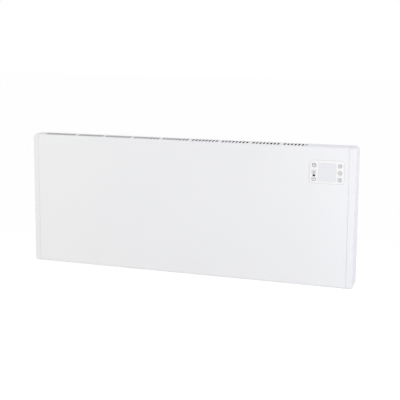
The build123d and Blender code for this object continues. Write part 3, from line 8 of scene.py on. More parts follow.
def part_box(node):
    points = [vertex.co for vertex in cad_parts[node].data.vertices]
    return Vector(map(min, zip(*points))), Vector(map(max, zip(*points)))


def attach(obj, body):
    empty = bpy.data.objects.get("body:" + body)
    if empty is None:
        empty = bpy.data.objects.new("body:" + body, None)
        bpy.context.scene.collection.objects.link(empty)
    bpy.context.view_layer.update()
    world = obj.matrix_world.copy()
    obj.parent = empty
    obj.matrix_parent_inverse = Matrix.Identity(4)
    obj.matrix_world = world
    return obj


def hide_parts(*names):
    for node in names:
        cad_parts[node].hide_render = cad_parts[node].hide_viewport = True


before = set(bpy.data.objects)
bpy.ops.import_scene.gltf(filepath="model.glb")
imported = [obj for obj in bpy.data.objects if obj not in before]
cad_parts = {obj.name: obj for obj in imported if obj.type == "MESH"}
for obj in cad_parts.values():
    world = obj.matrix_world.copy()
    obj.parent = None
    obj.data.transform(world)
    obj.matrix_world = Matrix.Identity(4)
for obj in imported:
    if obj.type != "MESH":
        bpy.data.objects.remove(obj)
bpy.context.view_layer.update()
MM = 0.001


# ---------------------------------------------------------------------------------------------
# Folded front. One sheet of steel with rows of air slots along its crowned top and its underside,
# bent over at all its long edges, with lips at the rear. Powder coated satin white outside, with a
# fine orange peel and softly rounded edges. Its reverse and cut edges keep their grey phosphate,
# painted darker than the phosphate is, as painted shade inside the slots.

SHEET = 0.8 * MM
FRONT_BEND = 6 * MM
REAR_BEND = 3 * MM
REAR_LIP = 12 * MM
BEND_STEPS = 8
SLOT_WIDTH = 5 * MM
SLOT_LENGTH = 23.5 * MM
SLOT_PITCH = 10.4 * MM
SLOT_GROUP_GAP = 18.7 * MM
SLOT_GROUPS = (7, 8, 8, 8, 8, 8, 8, 8, 10)
SLOT_STEPS = 5
ROUND_FLAT = 0.01 * MM
MERGE_DISTANCE = 0.01 * MM
FLAT_ANGLE = 1
FLATS_WEIGHT = 80
NOISE_LOW = 0.3
NOISE_HIGH = 0.7
OUTLET_SETBACK = 20 * MM
BAY_FLANGE = 14 * MM
CROWN_STEP = 5 * MM
COAT_EDGE = 0.16 * MM
OPENING_CLEARANCE = 0.2 * MM
SWITCH_LENGTH = 30 * MM
SWITCH_WIDTH = 21.6 * MM
SWITCH_CORNER = 0.5 * MM
GLAND_WIDTH = 15 * MM
SENSOR_WIDTH = 5 * MM
FASCIA_RIM = 3 * MM
FASCIA_CORNER = 7.5 * MM

front_low, front_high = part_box("front_panel")
seam_x, lip_y, top_z = front_high.x, front_high.y, -front_low.z
front_y, rear_y = front_low.y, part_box("rear_panel")[1].y
middle_y = (front_y + rear_y) / 2
crown = front_high.z - top_z
crown_radius = (((rear_y - front_y) / 2) ** 2 + crown ** 2) / (2 * crown)
partition_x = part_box("control_bay_partition")[0].x
FACING_ROOM = Matrix.Rotation(math.radians(90), 4, "X")


def linear(hex_colour):
    """Scene-linear colour of an sRGB hex value."""
    shares = [int(hex_colour[i:i + 2], 16) / 255 for i in (0, 2, 4)]
    return [c / 12.92 if c <= 0.04045 else ((c + 0.055) / 1.055) ** 2.4 for c in shares] + [1.0]


def add(tree, kind, settings, links=()):
    """Add a shader node, give it its settings by name or number, and link its sockets."""
    made = tree.nodes.new("ShaderNode" + kind)
    for name, value in settings.items():
        if isinstance(name, int) or name in made.inputs:
            made.inputs[name].default_value = value
        else:
            setattr(made, name, value)
    for name, source in dict(links).items():
        tree.links.new(source, made.inputs[name])
    return made


def finish(name, hex_colour, **settings):
    """Start a material from its plain colour and constant settings."""
    made = bpy.data.materials.new(name)
    made.use_nodes = True
    shader = made.node_tree.nodes["Principled BSDF"]
    shader.inputs["Base Color"].default_value = linear(hex_colour)
    for setting, value in settings.items():
        shader.inputs[setting.replace("_", " ")].default_value = value
    return made, made.node_tree, shader


def relief(tree, shader, size, height, detail=2.0, stretch=(1, 1, 1)):
    """Surface relief from noise: size is the width of its grain and height its depth."""
    place = add(tree, "TexCoord", {})
    grain = add(tree, "Mapping", {"Scale": stretch}, {"Vector": place.outputs["Object"]})
    noise = add(tree, "TexNoise", {"Scale": 1 / size, "Detail": detail},
                {"Vector": grain.outputs[0]})
    bump = add(tree, "Bump", {"Distance": height}, {"Height": noise.outputs["Fac"]})
    tree.links.new(bump.outputs["Normal"], shader.inputs["Normal"])


def drift(tree, shader, socket, size, low, high):
    """Slow change of a value over the surface, as handling and uneven curing leave it."""
    place = add(tree, "TexCoord", {})
    noise = add(tree, "TexNoise", {"Scale": 1 / size, "Detail": 3.0},
                {"Vector": place.outputs["Object"]})
    spread = add(tree, "MapRange",
                 {"From Min": NOISE_LOW, "From Max": NOISE_HIGH, "To Min": low, "To Max": high},
                 {"Value": noise.outputs["Fac"]})
    tree.links.new(spread.outputs["Result"], shader.inputs[socket])


def tint(tree, shader, size, first, second):
    """Two close colours that run into each other over the surface."""
    place = add(tree, "TexCoord", {})
    noise = add(tree, "TexNoise", {"Scale": 1 / size, "Detail": 2.0},
                {"Vector": place.outputs["Object"]})
    mixed = add(tree, "Mix", {"data_type": "RGBA", 6: linear(first), 7: linear(second)},
                {0: noise.outputs["Fac"]})
    tree.links.new(mixed.outputs[2], shader.inputs["Base Color"])


# Polyester powder coat on steel: satin, with an orange peel about 1.5 mm across that only
# softens the reflections, and a gloss that drifts a little over the panel.
powder_coat, tree, shader = finish("powder_coat_white", "EFEFEF", IOR=1.5)
tint(tree, shader, 180 * MM, "EDEDEE", "F0F0F0")
relief(tree, shader, 1.5 * MM, 0.012 * MM)
drift(tree, shader, "Roughness", 60 * MM, 0.36, 0.46)

# Zinc phosphate on the reverse and the cut edges of the sheet, which get no powder. Its grey is
# painted darker than phosphate is, so it also stands in for the shade inside the slots.
phosphate_and_slot_shade, tree, shader = finish("phosphated_steel_darkened_as_slot_shade", "484A4C", Roughness=0.7)
tint(tree, shader, 20 * MM, "424446", "4E5052")


def ordered(edges):
    """Edges without repeats, always in the same order."""
    return list(dict.fromkeys(edges))


def loop(bm, place, width, height, corner, steps=SLOT_STEPS):
    """Edge loop of a rectangle with round corners, in the XY plane of a place."""
    half_step = Matrix.Rotation(math.pi / (4 * steps), 4, "Z")
    made = bmesh.ops.create_circle(bm, segments=4 * steps, radius=corner, matrix=half_step)
    verts = made["verts"]
    for vert in verts:
        vert.co.x += math.copysign(width / 2 - corner, vert.co.x)
        vert.co.y += math.copysign(height / 2 - corner, vert.co.y)
    bmesh.ops.transform(bm, matrix=place, verts=verts)
    return ordered(edge for vert in verts for edge in vert.link_edges)


def round_loop(bm, place, width, height, steps=SLOT_STEPS):
    """Edge loop of a circle, or of a slot with round ends. A hair of flat parts its corners."""
    return loop(bm, place, width, height, min(width, height) / 2 - ROUND_FLAT, steps)


def square_loop(bm, place, width, height):
    """Edge loop of a sharp rectangle."""
    shape = place @ Matrix.Diagonal((width, height, 1, 1))
    verts = bmesh.ops.create_grid(bm, x_segments=1, y_segments=1, size=0.5, matrix=shape)["verts"]
    bmesh.ops.delete(bm, geom=[verts[0].link_faces[0]], context="FACES_ONLY")
    return ordered(edge for vert in verts for edge in vert.link_edges)


def fill(bm, place, edges, few=True):
    """Flat of a sheet between its outline and its holes, in few faces where it stays flat."""
    earlier = set(bm.faces)
    normal = place.to_3x3() @ Vector((0, 0, 1))
    bmesh.ops.triangle_fill(bm, use_beauty=True, use_dissolve=False, edges=edges, normal=normal)
    if few:
        made = [face for face in bm.faces if face not in earlier]
        inner = ordered(edge for face in made for edge in face.edges)
        bmesh.ops.dissolve_limit(bm, angle_limit=math.radians(FLAT_ANGLE), verts=[], edges=inner)
    return [face for face in bm.faces if face not in earlier]


def bend(bm, reach, start, centre, turn):
    """Round over along X: an edge through start, swept about centre by a turn."""
    ends = [bm.verts.new((side * reach, *start)) for side in (-1, 1)]
    edge = bm.edges.new(ends)
    bmesh.ops.spin(bm, geom=[*ends, edge], cent=(0, *centre), axis=(1, 0, 0), dvec=(0, 0, 0),
                   angle=math.radians(turn), steps=BEND_STEPS, use_merge=False, use_duplicate=False)


def face_out(bm, direction):
    """Turn all faces outwards, judged at the face that lies furthest in a direction."""
    bmesh.ops.remove_doubles(bm, verts=bm.verts, dist=MERGE_DISTANCE)
    bmesh.ops.recalc_face_normals(bm, faces=bm.faces)
    outward = Vector(direction)
    leading = max(bm.faces, key=lambda face: face.calc_center_median().dot(outward))
    if leading.normal.dot(outward) < 0:
        bmesh.ops.reverse_faces(bm, faces=bm.faces)


def piece(name, bm, material, body, slot, *stands_for):
    """Make a finished mesh into a piece of the heater."""
    mesh = bpy.data.meshes.new(name)
    bm.to_mesh(mesh)
    bm.free()
    mesh.shade_smooth()
    mesh.materials.append(material)
    made = bpy.data.objects.new(name, mesh)
    bpy.context.scene.collection.objects.link(made)
    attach(made, body)
    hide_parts(*stands_for)
    return made


def crown_top(bm, start):
    """Raise what lies above a level into the crown of the casing's top."""
    for i in range(1, int((rear_y - front_y) / CROWN_STEP)):
        faces = [face for face in bm.faces if all(vert.co.z > start for vert in face.verts)]
        parts = ordered(item for face in faces for item in (face, *face.edges, *face.verts))
        bmesh.ops.bisect_plane(bm, geom=parts, plane_co=(0, front_y + i * CROWN_STEP, 0),
                               plane_no=(0, 1, 0))
    for vert in bm.verts:
        if vert.co.z > start:
            share = min((vert.co.z - start) / (top_z - start), 1)
            rise = crown - crown_radius + math.sqrt(crown_radius ** 2 - (vert.co.y - middle_y) ** 2)
            vert.co.z += share * rise


def thicken(made, thickness, reverse=None):
    """Give a sheet its thickness inwards. Its reverse and cut edges may have their own finish."""
    wall = made.modifiers.new("thickness", "SOLIDIFY")
    wall.thickness = thickness
    wall.offset = -1
    wall.use_even_offset = True
    wall.use_quality_normals = True
    if reverse:
        made.data.materials.append(reverse)
        wall.material_offset = wall.material_offset_rim = 1


def soften(made, width, segments=2, angle=50, bent=True):
    """Round the edges of a piece, which may be bent, and keep its flats flat in the shading."""
    edge = made.modifiers.new("edges", "BEVEL")
    edge.width = width
    edge.segments = segments
    edge.limit_method = "ANGLE"
    edge.angle_limit = math.radians(angle)
    edge.use_clamp_overlap = True
    if not bent:
        edge.harden_normals = True
        return
    flats = made.modifiers.new("flats", "WEIGHTED_NORMAL")
    flats.keep_sharp = False
    flats.weight = FLATS_WEIGHT


def slot_centres():
    """X of each air slot, from the control bay to the left."""
    x = partition_x + BAY_FLANGE / 2
    centres = []
    for count in SLOT_GROUPS:
        centres += [x - i * SLOT_PITCH for i in range(count)]
        x = centres[-1] - SLOT_GROUP_GAP
    return centres


def centre_of(node):
    """Middle of a node's box."""
    low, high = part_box(node)
    return (low + high) / 2


def size_of(node):
    """Size of a node's box."""
    low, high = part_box(node)
    return high - low


def folded_front():
    """Outer skin of the front, its returns and its lips."""
    bm = bmesh.new()
    width = 2 * seam_x
    flat_low_y, flat_high_y = front_y + FRONT_BEND, lip_y - REAR_BEND
    depth = flat_high_y - flat_low_y
    flat_y = (flat_low_y + flat_high_y) / 2
    for level in (-top_z, top_z):
        place = Matrix.Translation((0, flat_y, level))
        edges = square_loop(bm, place, width, depth)
        for x in slot_centres():
            y = front_y + OUTLET_SETBACK if level > 0 else middle_y
            spot = Matrix.Translation((x, y, level))
            edges += round_loop(bm, spot, SLOT_WIDTH, SLOT_LENGTH)
        if level < 0:
            clear = 2 * OPENING_CLEARANCE
            switch = centre_of("switch_lugs")
            spot = Matrix.Translation((switch.x, switch.y, level))
            edges += loop(bm, spot, SWITCH_LENGTH + clear, SWITCH_WIDTH + clear, SWITCH_CORNER)
            for node, across in (("cord_gland", GLAND_WIDTH), ("room_sensor", SENSOR_WIDTH)):
                spot = Matrix.Translation((centre_of(node).x, middle_y, level))
                edges += round_loop(bm, spot, across + clear, across + clear)
        fill(bm, place, edges, few=level < 0)
    place = Matrix.Translation((0, front_y, 0)) @ FACING_ROOM
    edges = square_loop(bm, place, width, 2 * (top_z - FRONT_BEND))
    fascia, fascia_size = centre_of("control_fascia"), size_of("control_fascia")
    spot = Matrix.Translation((fascia.x, front_y, fascia.z)) @ FACING_ROOM
    rim = 2 * (FASCIA_RIM - OPENING_CLEARANCE)
    edges += loop(bm, spot, fascia_size.x - rim, fascia_size.z - rim, FASCIA_CORNER - rim / 2)
    fill(bm, place, edges)
    lip = REAR_LIP - REAR_BEND
    for side in (-1, 1):
        place = Matrix.Translation((0, lip_y, side * (top_z - REAR_BEND - lip / 2))) @ FACING_ROOM
        fill(bm, place, square_loop(bm, place, width, lip))
        bend(bm, seam_x, (front_y, side * (top_z - FRONT_BEND)),
             (front_y + FRONT_BEND, side * (top_z - FRONT_BEND)), -90 * side)
        bend(bm, seam_x, (lip_y - REAR_BEND, side * top_z),
             (lip_y - REAR_BEND, side * (top_z - REAR_BEND)), -90 * side)
    crown_top(bm, top_z - FRONT_BEND)
    face_out(bm, (0, -1, 0))
    return bm


front = piece("folded_front", folded_front(), powder_coat, "heater", "white_enamel", "front_panel")
# The reverse and cut edges take the darkened phosphate: partly its own grey, partly painted shade
# inside the slots.
thicken(front, SHEET, phosphate_and_slot_shade)
soften(front, COAT_EDGE)


# ---------------------------------------------------------------------------------------------
# End caps. Two mirrored mouldings of white plastic, with a spark-eroded grain a little duller than
# the coated steel, that close the casing and are screwed on from behind. A fine gap at the seam
# shows as a thin line, and the front of each cap falls away a little to its outer side.

CAP_WALL = 2.4 * MM
CAP_CORNER = 9 * MM
CAP_EDGE = 0.4 * MM
CAP_FALL = 1.6 * MM
SEAM_GAP = 0.35 * MM
CORNER_STEPS = 12
EDGE_STEPS = 8
SAME_PLACE = 0.001 * MM

# ABS with a satin moulded grain, about 0.5 mm across and drawn a little coarser than it is.
moulded_white, tree, shader = finish("moulded_abs_white", "EDEDEE", IOR=1.53)
tint(tree, shader, 90 * MM, "ECECED", "EFEFF0")
relief(tree, shader, 0.6 * MM, 0.02 * MM, 3.0)
drift(tree, shader, "Roughness", 40 * MM, 0.52, 0.62)


def block(bm, low, high):
    """Box between two corners, as the start of a shape."""
    middle = Matrix.Translation((Vector(low) + Vector(high)) / 2)
    size = Vector(high) - Vector(low)
    bmesh.ops.create_cube(bm, size=1, matrix=middle @ Matrix.Diagonal((*size, 1)))


def round_edges(bm, edges, radius, segments):
    """Round some edges of a shape."""
    bmesh.ops.bevel(bm, geom=edges, offset=radius, offset_type="OFFSET", segments=segments,
                    profile=0.5, affect="EDGES", material=-1, clamp_overlap=False)


def rim_edges(bm, y, seam):
    """Edges of the cap that lie in one upright plane, apart from those along the seam."""
    found = [edge for edge in bm.edges if all(abs(v.co.y - y) < SAME_PLACE for v in edge.verts)]
    return [edge for edge in found if any(v.co.x > seam + SAME_PLACE for v in edge.verts)]


def end_cap(side):
    """Skin of one end cap."""
    low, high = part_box("right_end_cap")
    start = seam_x + SEAM_GAP
    bm = bmesh.new()
    block(bm, (start, low.y, -top_z), (high.x, high.y, top_z))
    seam_face = min(bm.faces, key=lambda face: face.calc_center_median().x)
    bmesh.ops.delete(bm, geom=[seam_face], context="FACES")
    along_y = [edge for edge in bm.edges if edge.verts[0].co.x > seam_x + MM
               and abs(edge.verts[0].co.y - edge.verts[1].co.y) > MM]
    round_edges(bm, along_y, CAP_CORNER, CORNER_STEPS)
    round_edges(bm, rim_edges(bm, low.y, start), FRONT_BEND, EDGE_STEPS)
    round_edges(bm, rim_edges(bm, high.y, start), REAR_BEND, EDGE_STEPS)
    crown_top(bm, top_z - CAP_CORNER)
    for vert in bm.verts:
        outwards = (vert.co.x - seam_x) / (high.x - seam_x)
        vert.co.y += CAP_FALL * outwards * (high.y - vert.co.y) / (high.y - low.y)
    if side < 0:
        bmesh.ops.transform(bm, matrix=Matrix.Diagonal((-1, 1, 1, 1)), verts=bm.verts)
    face_out(bm, (side, 0, 0))
    return bm


for side, name in ((-1, "left_end_cap"), (1, "right_end_cap")):
    cap = piece(name + "_moulding", end_cap(side), moulded_white, "heater", "white_moulding", name)
    thicken(cap, CAP_WALL)
    soften(cap, CAP_EDGE, segments=3)


# ---------------------------------------------------------------------------------------------
# Rear panel. A flat sheet screwed and riveted to everything inside, with slots for the wall hooks,
# two rows of vents and three pressed beads that keep it from drumming. Powder coated like the
# front.

VENT_LENGTH = 30 * MM
VENT_WIDTH = 4 * MM
VENT_PITCH = 40 * MM
VENT_ROWS = (24 * MM, 34 * MM)
VENT_END_MARGIN = 60 * MM
HOOK_SLOT_WIDTH = 4 * MM
HOOK_SLOT_HEIGHT = 23.2 * MM
HOOK_LEVEL = 72 * MM
HOOK_SEAT_GAP = 0.2 * MM
HOOK_FLANGE = 2 * MM
BEAD_LENGTH = 430 * MM
BEAD_WIDTH = 16 * MM
BEAD_HEIGHT = 1.4 * MM
BEAD_SLOPE = 3 * MM
BEAD_LEVELS = (-60 * MM, 0, 60 * MM)


def rear_sheet():
    """Rear panel as one skin, seen from the wall."""
    low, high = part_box("rear_panel")
    bm = bmesh.new()
    place = Matrix.Translation((0, high.y, 0)) @ FACING_ROOM
    edges = square_loop(bm, place, high.x - low.x, high.z - low.z)

    def opening(x, z, width, height):
        spot = Matrix.Translation((x, high.y, z)) @ FACING_ROOM
        return round_loop(bm, spot, width, height)

    for bracket in ("left_wall_bracket", "right_wall_bracket"):
        bracket_low, bracket_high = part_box(bracket)
        for x in (bracket_low.x + HOOK_FLANGE / 2, bracket_high.x - HOOK_FLANGE / 2):
            for level in (-HOOK_LEVEL, HOOK_LEVEL):
                z = level + HOOK_SEAT_GAP - HOOK_SLOT_HEIGHT / 2
                edges += opening(x, z, HOOK_SLOT_WIDTH, HOOK_SLOT_HEIGHT)
    span = partition_x + seam_x
    count = int((span - 2 * VENT_END_MARGIN) // VENT_PITCH) + 1
    for i in range(count):
        x = (partition_x - seam_x) / 2 + (i - (count - 1) / 2) * VENT_PITCH
        for row in VENT_ROWS:
            edges += opening(x, -top_z + row, VENT_LENGTH, VENT_WIDTH)
    for level in BEAD_LEVELS:
        foot = opening(0, level, BEAD_LENGTH, BEAD_WIDTH)
        crown_place = Matrix.Translation((0, high.y + BEAD_HEIGHT, level)) @ FACING_ROOM
        crown_length, crown_width = BEAD_LENGTH - 2 * BEAD_SLOPE, BEAD_WIDTH - 2 * BEAD_SLOPE
        crown = round_loop(bm, crown_place, crown_length, crown_width)
        bmesh.ops.bridge_loops(bm, edges=foot + crown)
        fill(bm, crown_place, crown)
        edges += foot
    fill(bm, place, edges)
    face_out(bm, (0, 1, 0))
    return bm


rear = piece("rear_sheet", rear_sheet(), powder_coat, "heater", "white_enamel", "rear_panel")
thicken(rear, SHEET)
soften(rear, COAT_EDGE, angle=60)


# ---------------------------------------------------------------------------------------------
# Casing screws and rivets. Pan head steel screws with a cross recess, bright zinc plated, and
# aluminium blind rivets with their hollow domed heads, all set from behind.

HEAD_RADIUS = 3.4 * MM
HEAD_HEIGHT = 2 * MM
HEAD_STEPS = 20
HEAD_SHAPE = ((1, 0), (1, 0.3), (0.94, 0.65), (0.84, 0.88), (0.7, 1))
RECESS_REACH = 1.75 * MM
RECESS_DEPTH = 1.1 * MM
RECESS_TAPER = 0.15 * MM
SCREW_LENGTH = 7 * MM
SCREW_RADIUS = 1.7 * MM
SCREW_TIP_SHARE = 0.7
SCREW_TIP_LENGTH = 1 * MM
SCREW_TURN = 0.7
SCREW_SHARP_ANGLE = 35
TURNED_SHARP_ANGLE = 40
EAR_SCREW_INSET = 11 * MM
EAR_SPACING = 140 * MM
RIVET_DOME = ((3.2, 0), (3.2, 0.3), (2.8, 0.75), (2.1, 1.05), (1.4, 1.1), (1, 0.95))
RIVET_SHANK_RADIUS = 1.6 * MM
RIVET_LENGTH = 3.2 * MM
RIVET_BORE = 0.9 * MM
RIVET_BORE_DEPTH = 1.5 * MM
RIVET_STEPS = 16
CASING_SCREW_INSET = 40 * MM
CASING_SCREW_COUNT = 5
SHIELD_RIVET_COUNT = 4
SHIELD_RIVET_INSET = 32 * MM
SHIELD_FOOT = 9 * MM
BRACKET_FLANGE = 14 * MM
FACING_WALL = Matrix.Rotation(math.radians(-90), 4, "X")

# Bright zinc plate over steel: a faint blue, with fine streaks from the heading die.
zinc_plate, tree, shader = finish("zinc_plated_steel", "C9CCD0", Metallic=1.0)
relief(tree, shader, 0.3 * MM, 0.01 * MM)
drift(tree, shader, "Roughness", 2 * MM, 0.24, 0.4)

# Bare aluminium, dulled by handling.
bare_aluminium, tree, shader = finish("bare_aluminium", "D2D3D5", Metallic=1.0)
relief(tree, shader, 0.4 * MM, 0.008 * MM)
drift(tree, shader, "Roughness", 3 * MM, 0.3, 0.48)


def turn(bm, outline, steps, place=Matrix.Identity(4)):
    """Turned shape about Z from an outline of (radius, height), then put in its place."""
    verts = [bm.verts.new((radius, 0, height)) for radius, height in outline]
    edges = [bm.edges.new(pair) for pair in zip(verts, verts[1:])]
    bmesh.ops.spin(bm, geom=verts + edges, cent=(0, 0, 0), axis=(0, 0, 1), dvec=(0, 0, 0),
                   angle=math.tau, steps=steps, use_merge=True, use_duplicate=False)
    found = set(verts)
    waiting = list(verts)
    while waiting:
        for edge in waiting.pop().link_edges:
            for vert in edge.verts:
                if vert not in found:
                    found.add(vert)
                    waiting.append(vert)
    whole = [vert for vert in bm.verts if vert in found]
    bmesh.ops.remove_doubles(bm, verts=whole, dist=SAME_PLACE)
    whole = [vert for vert in bm.verts if vert.is_valid and vert in found]
    bmesh.ops.transform(bm, matrix=place, verts=whole)
    return whole


def screw(bm):
    """Pan head screw with a cross recess, its seat at the origin and its head along Z."""
    outline = [(0, -SCREW_LENGTH), (SCREW_RADIUS * SCREW_TIP_SHARE, -SCREW_LENGTH),
               (SCREW_RADIUS, -SCREW_LENGTH + SCREW_TIP_LENGTH), (SCREW_RADIUS, 0)]
    outline += [(HEAD_RADIUS * across, HEAD_HEIGHT * up) for across, up in HEAD_SHAPE]
    body = turn(bm, outline, HEAD_STEPS)
    rim = ordered(e for v in body for e in v.link_edges if len(e.link_faces) == 1)
    cross = bmesh.ops.create_grid(bm, x_segments=3, y_segments=3, size=RECESS_REACH,
                                  matrix=Matrix.Translation((0, 0, HEAD_HEIGHT)))["verts"]
    faces = ordered(face for vert in cross for face in vert.link_faces)
    third = RECESS_REACH / 3
    corners = [f for f in faces if all(abs(c) > third for c in f.calc_center_median().xy)]
    kept = [f for f in faces if f not in corners]
    bmesh.ops.delete(bm, geom=corners, context="FACES")
    outer = ordered(edge for face in kept for edge in face.edges if len(edge.link_faces) == 1)
    fill(bm, Matrix.Identity(4), rim + outer, few=False)
    bmesh.ops.inset_region(bm, faces=kept, thickness=RECESS_TAPER, depth=-RECESS_DEPTH,
                           use_even_offset=True)


def rear_spots(count, inset_low, inset_high, levels):
    """Evenly spaced places along the rear, as (x, z)."""
    step = (inset_high - inset_low) / (count - 1)
    return [(inset_low + i * step, z) for i in range(count) for z in levels]


lip_z = top_z - REAR_BEND - (REAR_LIP - REAR_BEND) / 2
screw_reach = seam_x - CASING_SCREW_INSET
ear_x = seam_x - EAR_SCREW_INSET
screw_spots = rear_spots(CASING_SCREW_COUNT, -screw_reach, screw_reach, (-lip_z, lip_z))
screw_spots += [(side * ear_x, z) for side in (-1, 1) for z in (-EAR_SPACING, 0, EAR_SPACING)]

one_screw = bmesh.new()
screw(one_screw)
bmesh.ops.recalc_face_normals(one_screw, faces=one_screw.faces)
screw_mesh = bpy.data.meshes.new("screw_pattern")
one_screw.to_mesh(screw_mesh)
one_screw.free()
bm = bmesh.new()
for i, (x, z) in enumerate(screw_spots):
    before = len(bm.verts)
    bm.from_mesh(screw_mesh)
    bm.verts.ensure_lookup_table()
    roll = Matrix.Rotation(SCREW_TURN * i, 4, "Z")
    bmesh.ops.transform(bm, matrix=Matrix.Translation((x, rear_y, z)) @ FACING_WALL @ roll,
                        verts=bm.verts[before:])
bpy.data.meshes.remove(screw_mesh)
screws = piece("casing_screw_set", bm, zinc_plate, "heater", "zinc_fastener", "casing_screws")
screws.data.set_sharp_from_angle(angle=math.radians(SCREW_SHARP_ANGLE))

shield_low, shield_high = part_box("rear_heat_shield")
rivet_levels = (shield_low.z + SHIELD_FOOT / 2, shield_high.z - SHIELD_FOOT / 2)
rivet_spots = rear_spots(SHIELD_RIVET_COUNT, shield_low.x + SHIELD_RIVET_INSET,
                         shield_high.x - SHIELD_RIVET_INSET, rivet_levels)
bay_rivet_x = partition_x + SHEET + (BRACKET_FLANGE - SHEET) / 2
rivet_spots += [(bay_rivet_x, z) for z in (-EAR_SPACING, 0, EAR_SPACING)]
bracket_rivet_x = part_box("element_bracket")[0].x + (BRACKET_FLANGE - SHEET) / 2
element_levels = [centre_of(name).z for name in ("lower_element_rod", "upper_element_rod")]
rivet_spots += [(bracket_rivet_x, z) for z in element_levels]
bm = bmesh.new()
rivet_outline = [(RIVET_SHANK_RADIUS, -RIVET_LENGTH), (RIVET_SHANK_RADIUS, 0)]
rivet_outline += [(radius * MM, height * MM) for radius, height in RIVET_DOME]
rivet_outline += [(RIVET_BORE, -RIVET_BORE_DEPTH), (0, -RIVET_BORE_DEPTH)]
for x, z in rivet_spots:
    turn(bm, rivet_outline, RIVET_STEPS, Matrix.Translation((x, rear_y, z)) @ FACING_WALL)
bmesh.ops.recalc_face_normals(bm, faces=bm.faces)
rivets = piece("rear_rivet_set", bm, bare_aluminium, "heater", "can_aluminium", "rear_panel_rivets")
rivets.data.set_sharp_from_angle(angle=math.radians(TURNED_SHARP_ANGLE))


# ---------------------------------------------------------------------------------------------
# Fascia. A thin satin moulding let into the front, with openings for the window, six round keys
# and the receiver. Its rim covers the cut edge of the steel, and a fine pale line is printed just
# inside its outline, as painted shade along the fascia's edge.

WINDOW_WIDTH = 50.5 * MM
WINDOW_HEIGHT = 51.4 * MM
WINDOW_CORNER = 1 * MM
KEY_RADIUS = 6.2 * MM
KEY_GAP = 0.2 * MM
KEY_HOLE_STEPS = 10
EYE_RADIUS = 2.7 * MM
FASCIA_EDGE = 0.35 * MM
FASCIA_STEP_GAP = 0.02 * MM
CORNER_LINE_STEPS = 8
PRINT_THICKNESS = 0.03 * MM
LINE_INSET = 0.5 * MM
LINE_WIDTH = 1.3 * MM
LINE_CORNER = 9.5 * MM
KEY_NAMES = ("mode", "cancel", "power", "timer", "plus", "minus")

# Satin film over the moulding: smoother and a shade brighter than the coat around it.
fascia_film, tree, shader = finish("satin_film_white", "F2F1F0", IOR=1.5)
relief(tree, shader, 0.5 * MM, 0.006 * MM)
drift(tree, shader, "Roughness", 20 * MM, 0.3, 0.38)

# Screen printed inks, all matt: mid grey for strokes, light grey for discs, black round the
# receiver, white on top of the discs, and a pale one for the outline, which is painted shade
# along the fascia's edge.
grey_ink, tree, shader = finish("screen_ink_grey", "8C8C92", Roughness=0.6)
tint(tree, shader, 1.5 * MM, "88888E", "929298")

disc_ink, tree, shader = finish("screen_ink_light_grey", "C6C6CA", Roughness=0.6)
tint(tree, shader, 1.5 * MM, "C3C3C7", "C9C9CD")

black_ink, tree, shader = finish("screen_ink_black", "080809", Roughness=0.6, IOR=1.3)
tint(tree, shader, 1.5 * MM, "060607", "0B0B0C")

white_ink, tree, shader = finish("screen_ink_white", "F1F1F0", Roughness=0.6)
tint(tree, shader, 1.5 * MM, "EFEFEE", "F3F3F2")

# Pale grey ink for the line round the fascia's rim: painted shade of the fascia's edge.
pale_edge_shade_ink, tree, shader = finish("screen_ink_pale_edge_shade", "D8D9DA", Roughness=0.6)
tint(tree, shader, 2 * MM, "D5D6D7", "DBDCDD")

fascia_low, fascia_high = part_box("control_fascia")
fascia_middle = centre_of("control_fascia")
window_middle = centre_of("display_window")
eye_middle = centre_of("infrared_window")
fascia_face = fascia_low.y
fascia_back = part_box("display_window")[1].y
eye_across = 2 * EYE_RADIUS + KEY_GAP


def on_fascia(x, z, y=None):
    """Place on the fascia's face, or at another depth, that looks into the room."""
    return Matrix.Translation((x, fascia_face if y is None else y, z)) @ FACING_ROOM


def fascia_plate(bm, y0, y1, width, height, corner):
    """One step of the fascia, with all its openings."""
    place = on_fascia(fascia_middle.x, fascia_middle.z, y0)
    edges = loop(bm, place, width, height, corner, CORNER_LINE_STEPS)
    spot = on_fascia(window_middle.x, window_middle.z, y0)
    edges += loop(bm, spot, WINDOW_WIDTH, WINDOW_HEIGHT, WINDOW_CORNER)
    for name in KEY_NAMES:
        key = centre_of(name + "_button")
        across = 2 * (KEY_RADIUS + KEY_GAP)
        edges += round_loop(bm, on_fascia(key.x, key.z, y0), across, across, KEY_HOLE_STEPS)
    spot = on_fascia(eye_middle.x, eye_middle.z, y0)
    edges += round_loop(bm, spot, eye_across, eye_across, CORNER_LINE_STEPS)
    faces = fill(bm, place, edges)
    deep = bmesh.ops.extrude_face_region(bm, geom=faces)["geom"]
    moved = [item for item in deep if isinstance(item, bmesh.types.BMVert)]
    bmesh.ops.translate(bm, vec=(0, y1 - y0, 0), verts=moved)


bm = bmesh.new()
full = fascia_high.x - fascia_low.x, fascia_high.z - fascia_low.z
fascia_plate(bm, fascia_face, front_y, *full, FASCIA_CORNER)
inner = [side - 2 * FASCIA_RIM for side in full]
fascia_plate(bm, front_y + FASCIA_STEP_GAP, fascia_back, *inner, FASCIA_CORNER - FASCIA_RIM)
bmesh.ops.recalc_face_normals(bm, faces=bm.faces)
fascia = piece("fascia_moulding", bm, fascia_film, "heater", "fascia_film", "control_fascia")
soften(fascia, FASCIA_EDGE, segments=3, bent=False)


def printed(name, bm, material, body, slot="key_plastic"):
    """Make flat print into a thin raised layer."""
    bmesh.ops.recalc_face_normals(bm, faces=bm.faces)
    for face in bm.faces:
        if face.normal.y > 0:
            face.normal_flip()
    made = piece(name, bm, material, body, slot)
    made.data.shade_flat()
    layer = made.modifiers.new("layer", "SOLIDIFY")
    layer.thickness = PRINT_THICKNESS
    layer.offset = 1
    return made


